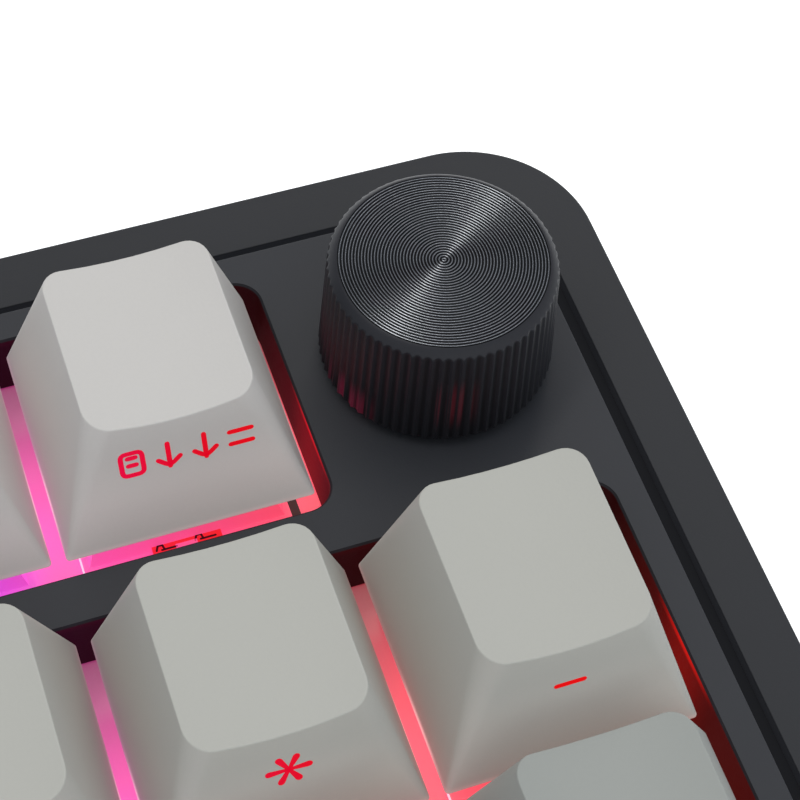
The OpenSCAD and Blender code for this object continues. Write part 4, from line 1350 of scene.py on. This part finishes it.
class KEYBOARD_OT_keys(bpy.types.Operator):
    """Models every key: caps and sliders in rows, with lit marks on their fronts"""

    bl_idname = "keyboard.keys"
    bl_label = "Keycaps"

    def execute(self, context):
        caps, marks = sizes("keyboard_caps"), sizes("keyboard_marks")
        tones = {tone: cap_finish(f"keycap_{tone}", getattr(caps, tone))
                 for tone in ("pale", "middle", "deep")}
        stem_finish = plain("slider_plastic", caps.stem, 0.4)
        lit = lit_finish("lit_mark", (0.05, 0.002, 0.005), 0.8,
                         strength=marks.glow, shift=2.0, depth=2.4, **MATT)
        tree = key_row_tree()
        stem = mesh_object("stem_shape", *boxes(*SLIDER), smooth=False)
        shapes = {}
        for body, keys in KEYS.items():
            parts = []
            for (centre, row, width, depth, _), count in self.runs(keys):
                wing = WING * caps.pitch if body == "enter_key" else 0.0
                form = (width, depth, row, wing, body == "space_key")
                if form not in shapes:
                    shapes[form] = mesh_object("cap_shape", *cap_points(*form))
                    shapes[form].data.set_sharp_from_angle(angle=CAP_SHARP)
                parts.append(run_tree(tree, "row", {
                    "Cap": shapes[form], "Stem": stem, "Count": count,
                    "Pitch": width * caps.pitch,
                    "Start": (*key_place(centre, row), 0.0),
                    "Cap Material": tones[tone_of(body)],
                    "Stem Material": stem_finish}))
            points, faces = [], []
            for key in keys:
                if key[4]:
                    mark_points(key[4], key, points, faces)
            if points:
                parts.append(mesh_object("mark", points, faces, lit, smooth=False))
            made = joined(body.replace("_keys", "_caps").replace("_key", "_cap"), parts)
            ride_deck(made, body, "keycap", body)
        drop(stem, *shapes.values())
        return {"FINISHED"}

    def runs(self, keys):
        """The keys as runs of equal neighbours: the first one and their count."""
        found = []
        for key in keys:
            if found:
                first, count = found[-1]
                near = abs(first[0] + count * first[2] - key[0]) < 1e-6
                if near and first[1:4] == key[1:4]:
                    found[-1][1] += 1
                    continue
            found.append([key, 1])
        return found


# Knob: its hollow, its foot and the heights of its side's rings in mm
HOLLOW_RADIUS, HOLLOW_TOP, FOOT_RADIUS = 0.0061, 0.0071, 0.0083
SIDE_RINGS = (0.3, 0.6, 1.5, 3, 4.5, 6, 7.2, 8, 8.4, 8.8, 9.2)
# Height without lean, and the shape of the shoulder
UPRIGHT, SHOULDER_CURVE = 0.0013, 1.45
# Turned face: gap round it, how far it lies under the top, its bed's depth and its own
FACE_GAP, FACE_SINK, BED_DEPTH, FACE_DEPTH = 0.00004, 0.00002, 0.00012, 0.0003
# In shares of a ring's width: its crest from its outer edge, and the flat hub's radius
RING_CREST, HUB = 0.36, 0.3
# Roughness in a ring's groove
GROOVE_ROUGH = 0.65
# A flute's width as a share of the distance between two
FLUTE_SHARE = 8 / 9
# Steps along the shoulder, over one ring, round one flute and round the face
SHOULDER_STEPS, RING_STEPS, FLUTE_STEPS, FACE_STEPS = 12, 8, 12, 192
# Faces that meet at more than this are shown with a sharp edge
KNOB_SHARP = math.radians(38)


class KEYBOARD_OT_knob(bpy.types.Operator):
    """Turns the knob: fluted side, smooth shoulder and a face of fine rings"""

    bl_idname = "keyboard.knob"
    bl_label = "Knob"

    def execute(self, context):
        knob, case = sizes("keyboard_knob"), sizes("keyboard_case")
        top, lean = knob.height, self.lean(knob)

        def side(z):
            return knob.foot_radius - lean * z

        # Hollow, foot, side, rounded shoulder and the bed under the face
        outline = [(0.0, HOLLOW_TOP), (HOLLOW_RADIUS, HOLLOW_TOP),
                   (HOLLOW_RADIUS, 0.0), (FOOT_RADIUS, 0.0)]
        outline += [(side(z / 1000), z / 1000) for z in SIDE_RINGS]
        rim, brow = knob.face_radius + FACE_GAP, side(top - knob.shoulder)
        for k in range(SHOULDER_STEPS + 1):
            part = 1.0 - k / SHOULDER_STEPS
            outline.append((rim + (brow - rim) * part,
                            top - FACE_SINK - knob.shoulder * part**SHOULDER_CURVE))
        outline += [(knob.face_radius, top - BED_DEPTH),
                    (0.0, top - BED_DEPTH - FACE_SINK)]

        # Face: a flat back, then a wave for each ring from the rim inwards
        pitch, rim = knob.face_radius / knob.rings, knob.face_radius - FACE_SINK
        face = [(0.0, top - FACE_DEPTH), (rim, top - FACE_DEPTH)]
        for step in range(RING_STEPS * knob.rings):
            part = step / RING_STEPS
            wave = (1 - math.cos(2 * math.pi * (part - RING_CREST))) / 2
            if rim - part * pitch > HUB * pitch:
                face.append((rim - part * pitch,
                             top - FACE_SINK / 2 - wave * knob.ring_depth))
        face.append((0.0, top - FACE_SINK))

        tree = self.turning_tree()
        parts = []
        for name, material, points, around, flutes in (
            ("side", self.side_metal(), [(r, side(z), z) for r, z in outline],
             knob.flutes * FLUTE_STEPS, knob.flutes),
            ("face", self.face_metal(), [(r, r, z) for r, z in face],
             FACE_STEPS, 0),
        ):
            profile = mesh_object("profile", points, [])
            parts.append(run_tree(tree, name, {
                "Profile": profile, "Rows": len(points), "Around": around,
                "Flutes": flutes, "Flute Depth": knob.flute_depth,
                "Material": material}))
            parts[-1].data.set_sharp_from_angle(angle=KNOB_SHARP)
            drop(profile)
        made = joined("turned_knob", parts)
        place = deck().inverted() @ Vector(JOINTS["knob_turn"]["pos_m"])
        lift = case.panel_top + knob.lift
        made.data.transform(Matrix.Translation((place.x, place.y, lift)))
        ride_deck(made, "knob", "knob", "knob")
        return {"FINISHED"}

    def lean(self, knob):
        """How far the side leans in over a metre of its height."""
        return (knob.foot_radius - knob.top_radius) / (knob.height - UPRIGHT)

    def arm(self, g):
        """The way from the knob's axis to the surface."""
        axis = tuple(JOINTS["knob_turn"]["axis"])
        foot = tuple(JOINTS["knob_turn"]["pos_m"])
        arm = g.vector("SUBTRACT", g.object_place(), foot)
        along = g.scaled(axis, g.vector("DOT_PRODUCT", arm, axis))
        return g.vector("SUBTRACT", arm, along)

    def side_metal(self):
        """Dark anodised metal; its foot catches streaks of the board's light."""
        knob = sizes("keyboard_knob")
        finish = Finish("anodised_metal", Metallic=0.3, **SATIN)
        g = finish.graph
        arm = self.arm(g)
        way = g.vector("NORMALIZE", arm)
        height = finish.group("place")["Z"]

        # Painted shade: darker in the flutes, under the smooth shoulder
        foot = (sizes("keyboard_case").panel_top + knob.lift) * 1000
        outer = g.math("MULTIPLY_ADD", g.math("SUBTRACT", height, foot),
                       -self.lean(knob) / 1000, knob.foot_radius)
        dip = g.math("SUBTRACT", outer, g.vector("LENGTH", arm))
        below = foot + (knob.height - knob.shoulder) * 1000
        flute = g.product(g.ramp(dip, 0.55 * knob.flute_depth, knob.flute_depth),
                          g.ramp(height, below + 0.1, below - 0.2))
        tone = g.mix(flute, rgba(knob.coat), rgba(dimmed(knob.coat, 0.55)))

        def lobe(direction, start, end, *heights):
            """Light round one direction from the axis, within heights on the deck."""
            found = g.ramp(g.vector("DOT_PRODUCT", way, direction), start, end)
            band = g.product(*(g.ramp(height, *ends) for ends in heights))
            return g.product(found, band)

        left = lobe((-0.934, -0.358, 0.0), 0.94, 1.0, (10.6, 8.0))
        front = lobe((-0.208, -0.978, 0.0), 0.968, 0.995, (8.0, 11.0), (14.5, 12.0))
        lobes = g.math("MULTIPLY_ADD", front, 0.55, left)
        streaks = g.ramp(g.noise(way, 26.0, 1.0), 0.42, 0.6)
        board = finish.board(shift=-12.0, depth=1.2)
        finish.glow(board["Colour"], g.product(lobes, streaks, knob.sheen))
        return finish.grain(tone, 0.45, tone=0.08, spread=0.08, scale=2600.0,
                            depth=0.2e-5).material

    def face_metal(self):
        """Turned metal, rough across its rings: it shines in two narrow wedges."""
        knob = sizes("keyboard_knob")
        finish = Finish("turned_metal", Metallic=1.0, Anisotropic=1.0)
        g = finish.graph
        arm = self.arm(g)
        depth = g.math("SUBTRACT", knob.face_radius - FACE_SINK,
                       g.vector("LENGTH", arm))
        ring = g.math("DIVIDE", depth, knob.face_radius / knob.rings)
        off = g.math("PINGPONG",
                     g.math("SUBTRACT", ring, RING_CREST + 0.5 - 8.0), 0.5)
        crest = g.ramp(off, 0.28, 0.42)
        # The grooves keep only a share of the metal's colour: painted shade between the crests
        tone = g.mix(crest, rgba(dimmed(knob.metal, knob.groove)), rgba(knob.metal))
        rough = g.math("MULTIPLY_ADD", crest, knob.roughness - GROOVE_ROUGH,
                       GROOVE_ROUGH)
        finish.feed(Tangent=g.vector("NORMALIZE", arm))
        return finish.grain(tone, rough, tone=0.04, spread=0.02, scale=2600.0,
                            depth=0.02e-5).material

    def turning_tree(self):
        """Turns a profile (radius, flute line, height) and cuts flutes in its side."""
        g, inside = shape_graph("Turned form", [
            ("Profile", "Object"), ("Rows", "Int", 8), ("Around", "Int", 96),
            ("Flutes", "Int", 72), ("Flute Depth", "Float", 0.00016),
            ("Material", "Material")])
        grid = g.add(
            "GeometryNodeMeshGrid",
            {"Size X": 1.0, "Size Y": 1.0, "Vertices Y": inside["Rows"],
             "Vertices X": g.math("ADD", inside["Around"], 1.0)},
        ).outputs[0]
        spot = g.parts(g.add("GeometryNodeInputPosition").outputs[0])
        around = g.math("ADD", spot["X"], 0.5)
        row = g.math("ROUND", g.product(
            g.math("ADD", spot["Y"], 0.5), g.math("SUBTRACT", inside["Rows"], 1.0)))
        shape = g.add("GeometryNodeObjectInfo", {"Object": inside["Profile"]})
        profile = g.parts(g.add(
            "GeometryNodeSampleIndex",
            {"Geometry": shape.outputs["Geometry"],
             "Value": g.add("GeometryNodeInputPosition").outputs[0], "Index": row},
            data_type="FLOAT_VECTOR", domain="POINT",
        ).outputs[0])

        # A flute is round and deepest in its middle
        turn = g.math("FRACT", g.product(around, inside["Flutes"]))
        wide = g.product(g.math("ABSOLUTE", g.math("SUBTRACT", turn, 0.5)),
                         2 / FLUTE_SHARE)
        dip = g.math("MAXIMUM", g.rest(g.product(wide, wide)), 0.0)
        cut = g.math("SUBTRACT", profile["Y"], g.product(dip, inside["Flute Depth"]))
        radius = g.math("MINIMUM", profile["X"], cut)
        angle = g.product(around, 2 * math.pi)
        place = g.add("ShaderNodeCombineXYZ", {
            "X": g.product(radius, g.math("COSINE", angle)),
            "Y": g.product(radius, g.math("SINE", angle)),
            "Z": profile["Z"]}).outputs[0]
        moved = g.add("GeometryNodeSetPosition",
                      {"Geometry": grid, "Position": place}).outputs[0]
        closed = g.add("GeometryNodeMergeByDistance",
                       {"Geometry": moved, "Distance": 1e-7}).outputs[0]
        smooth = g.add("GeometryNodeSetShadeSmooth", {"Geometry": closed}).outputs[0]
        return g.give({"Geometry": painted(g, smooth, inside["Material"])})


# Lamps: direction from the lit place on the deck, and width and length in metres
LAMPS = {
    "key": ((-0.134, 0.235, 0.963), (0.125, 1.2)),
    "streak": ((0.488, 0.738, 0.466), (0.06, 0.4)),
    "fill": ((0.0, -0.9, 0.4), (0.6, 2.2)),
}
LIT_PLACE = Vector((0.176, 0.05, 0.016))
LAMP_DISTANCE = 1.05
# The lamps' lengths lie along this way
LAMP_SIDE = Vector((0.777, 0.629, 0.0))
# From the middle of the minus key's skirt to the camera, on the deck
VIEW_PLACE = Vector((-0.035268, -0.056137, 0.127812))
# The flag's middle in the sky, which the turned face mirrors, its edge in radians and
# the share of light that it leaves
FLAG_X, FLAG_Y, FLAG_EDGE, FLAG_LIGHT = 0.255, 0.549, (0.08, 0.36), 0.3
# Light that makes the floor white, and half its width in metres
FLOOR_LIGHT, FLOOR_HALF = 0.62, 3


class KEYBOARD_OT_studio(bpy.types.Operator):
    """Sets the camera, the soft lamps, the pale floor and the world"""

    bl_idname = "keyboard.studio"
    bl_label = "Studio"

    def execute(self, context):
        studio = sizes("keyboard_studio")
        self.camera(studio)
        for name, (way, size) in LAMPS.items():
            self.lamp(studio, name, Vector(way).normalized(), size)
        self.floor(studio)
        self.world(studio)
        context.scene.view_settings.view_transform = "Standard"
        return {"FINISHED"}

    def lamp(self, studio, name, away, size):
        light = bpy.data.lights.new(name, "AREA")
        light.shape = "RECTANGLE"
        light.size, light.size_y = size
        light.energy = getattr(studio, name)
        light.color = studio.warm
        flat = (LAMP_SIDE - away * LAMP_SIDE.dot(away)).normalized()
        place = Matrix((flat.cross(away), flat, away)).transposed().to_4x4()
        place.translation = away * LAMP_DISTANCE
        centre = Matrix.Translation(deck() @ LIT_PLACE)
        tilt = deck().to_3x3().to_4x4()
        linked(name, light).matrix_world = centre @ tilt @ place

    def camera(self, studio):
        data = bpy.data.cameras.new("view")
        data.sensor_width = 36.0
        data.lens = studio.lens
        data.clip_start = 0.005
        camera = linked("view", data)
        az, el, roll = studio.azimuth, studio.elevation, studio.roll
        ahead = Vector((math.sin(az) * math.cos(el), math.cos(az) * math.cos(el),
                        -math.sin(el)))
        right = ahead.cross(Vector((0, 0, 1))).normalized()
        up = right.cross(ahead)
        side = right * math.cos(roll) + up * math.sin(roll)
        head = up * math.cos(roll) - right * math.sin(roll)
        turn = Matrix((side, head, -ahead)).transposed().to_4x4()
        origin = Vector((*key_place(PAD + 3.5, 1), sizes("keyboard_caps").skirt))
        camera.matrix_world = deck() @ Matrix.Translation(origin + VIEW_PLACE) @ turn
        bpy.context.scene.camera = camera

    def showing(self, g):
        """Is 1 for the rays that show the background: camera, gloss and glass."""
        seen = g.add("ShaderNodeLightPath").outputs
        mirrored = g.math("MAXIMUM", seen["Is Glossy Ray"], seen["Is Transmission Ray"])
        return g.math("MAXIMUM", seen["Is Camera Ray"], mirrored)

    def floor(self, studio):
        finish = Finish("pale_floor", Base_Color=rgba(studio.floor), Roughness=0.9)
        g, shader = finish.graph, finish.shader.outputs[0]
        glow = g.add("ShaderNodeEmission", {"Color": WHITE, "Strength": FLOOR_LIGHT})
        both = g.add("ShaderNodeAddShader", {0: shader, 1: glow.outputs[0]})
        pick = g.add("ShaderNodeMixShader",
                     {0: self.showing(g), 1: shader, 2: both.outputs[0]})
        g.tree.links.new(pick.outputs[0], g.tree.nodes["Material Output"].inputs[0])
        half = FLOOR_HALF
        points = [(*p, 0) for p in box_corners(-half, half, -half, half)]
        mesh_object("floor", points, [(0, 1, 2, 3)], finish.material,
                             smooth=False)

    def world(self, studio):
        world = bpy.data.worlds.new("studio")
        bpy.context.scene.world = world
        world.use_nodes = True
        g = Graph(world.node_tree)
        shown = self.showing(g)
        camera = g.add("ShaderNodeLightPath").outputs["Is Camera Ray"]

        # A dark flag beside the key light, which the turned face mirrors
        way = g.parts(g.add("ShaderNodeTexCoord").outputs["Generated"])
        turn = g.math("ARCTAN2", g.math("SUBTRACT", way["Y"], FLAG_Y),
                      g.math("SUBTRACT", way["X"], FLAG_X))
        off = g.math("PINGPONG", g.math("ADD", turn, 4 * math.pi - studio.flag),
                     math.pi / 2)
        lit = g.math("MULTIPLY_ADD", g.ramp(off, *FLAG_EDGE), 1.0 - FLAG_LIGHT,
                     FLAG_LIGHT)
        level = g.math("MULTIPLY_ADD", shown, 1.0 - studio.ambient, studio.ambient)
        strength = g.math("MAXIMUM", g.product(lit, level), camera)
        back = g.tree.nodes["Background"]
        g.tree.links.new(g.mix(shown, rgba(studio.cool), WHITE), back.inputs["Color"])
        g.tree.links.new(strength, back.inputs["Strength"])


class KEYBOARD_PT_panel(bpy.types.Panel):
    """Lists the keyboard's pieces and sizes"""

    bl_idname = "KEYBOARD_PT_panel"
    bl_label = "Keyboard"
    bl_space_type = "VIEW_3D"
    bl_region_type = "UI"
    bl_category = "Keyboard"

    def draw(self, context):
        for operator in OPERATORS:
            self.layout.operator(operator.bl_idname)
        for name in SETTINGS:
            box = self.layout.box()
            box.label(text=name.replace("keyboard_", "").title())
            group = getattr(context.scene, name)
            for key in group.bl_rna.properties.keys():
                if key not in ("rna_type", "name"):
                    box.prop(group, key)


OPERATORS = (
    KEYBOARD_OT_upper_shell,
    KEYBOARD_OT_lower_shell,
    KEYBOARD_OT_inside,
    KEYBOARD_OT_switches,
    KEYBOARD_OT_keys,
    KEYBOARD_OT_knob,
    KEYBOARD_OT_studio,
)
SETTINGS = {
    "keyboard_case": KeyboardCase,
    "keyboard_caps": KeyboardCaps,
    "keyboard_marks": KeyboardMarks,
    "keyboard_knob": KeyboardKnob,
    "keyboard_light": KeyboardLight,
    "keyboard_studio": KeyboardStudio,
}


def register():
    for group in SETTINGS.values():
        bpy.utils.register_class(group)
    for name, group in SETTINGS.items():
        setattr(bpy.types.Scene, name, PointerProperty(type=group))
    for operator in OPERATORS:
        bpy.utils.register_class(operator)
    bpy.utils.register_class(KEYBOARD_PT_panel)


def unregister():
    bpy.utils.unregister_class(KEYBOARD_PT_panel)
    for operator in reversed(OPERATORS):
        bpy.utils.unregister_class(operator)
    for name, group in SETTINGS.items():
        delattr(bpy.types.Scene, name)
        bpy.utils.unregister_class(group)


def main():
    """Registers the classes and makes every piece."""
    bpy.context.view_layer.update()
    register()
    for operator in OPERATORS:
        name = operator.bl_idname.split(".")[1]
        getattr(bpy.ops.keyboard, name)()


if __name__ == "__main__":
    main()
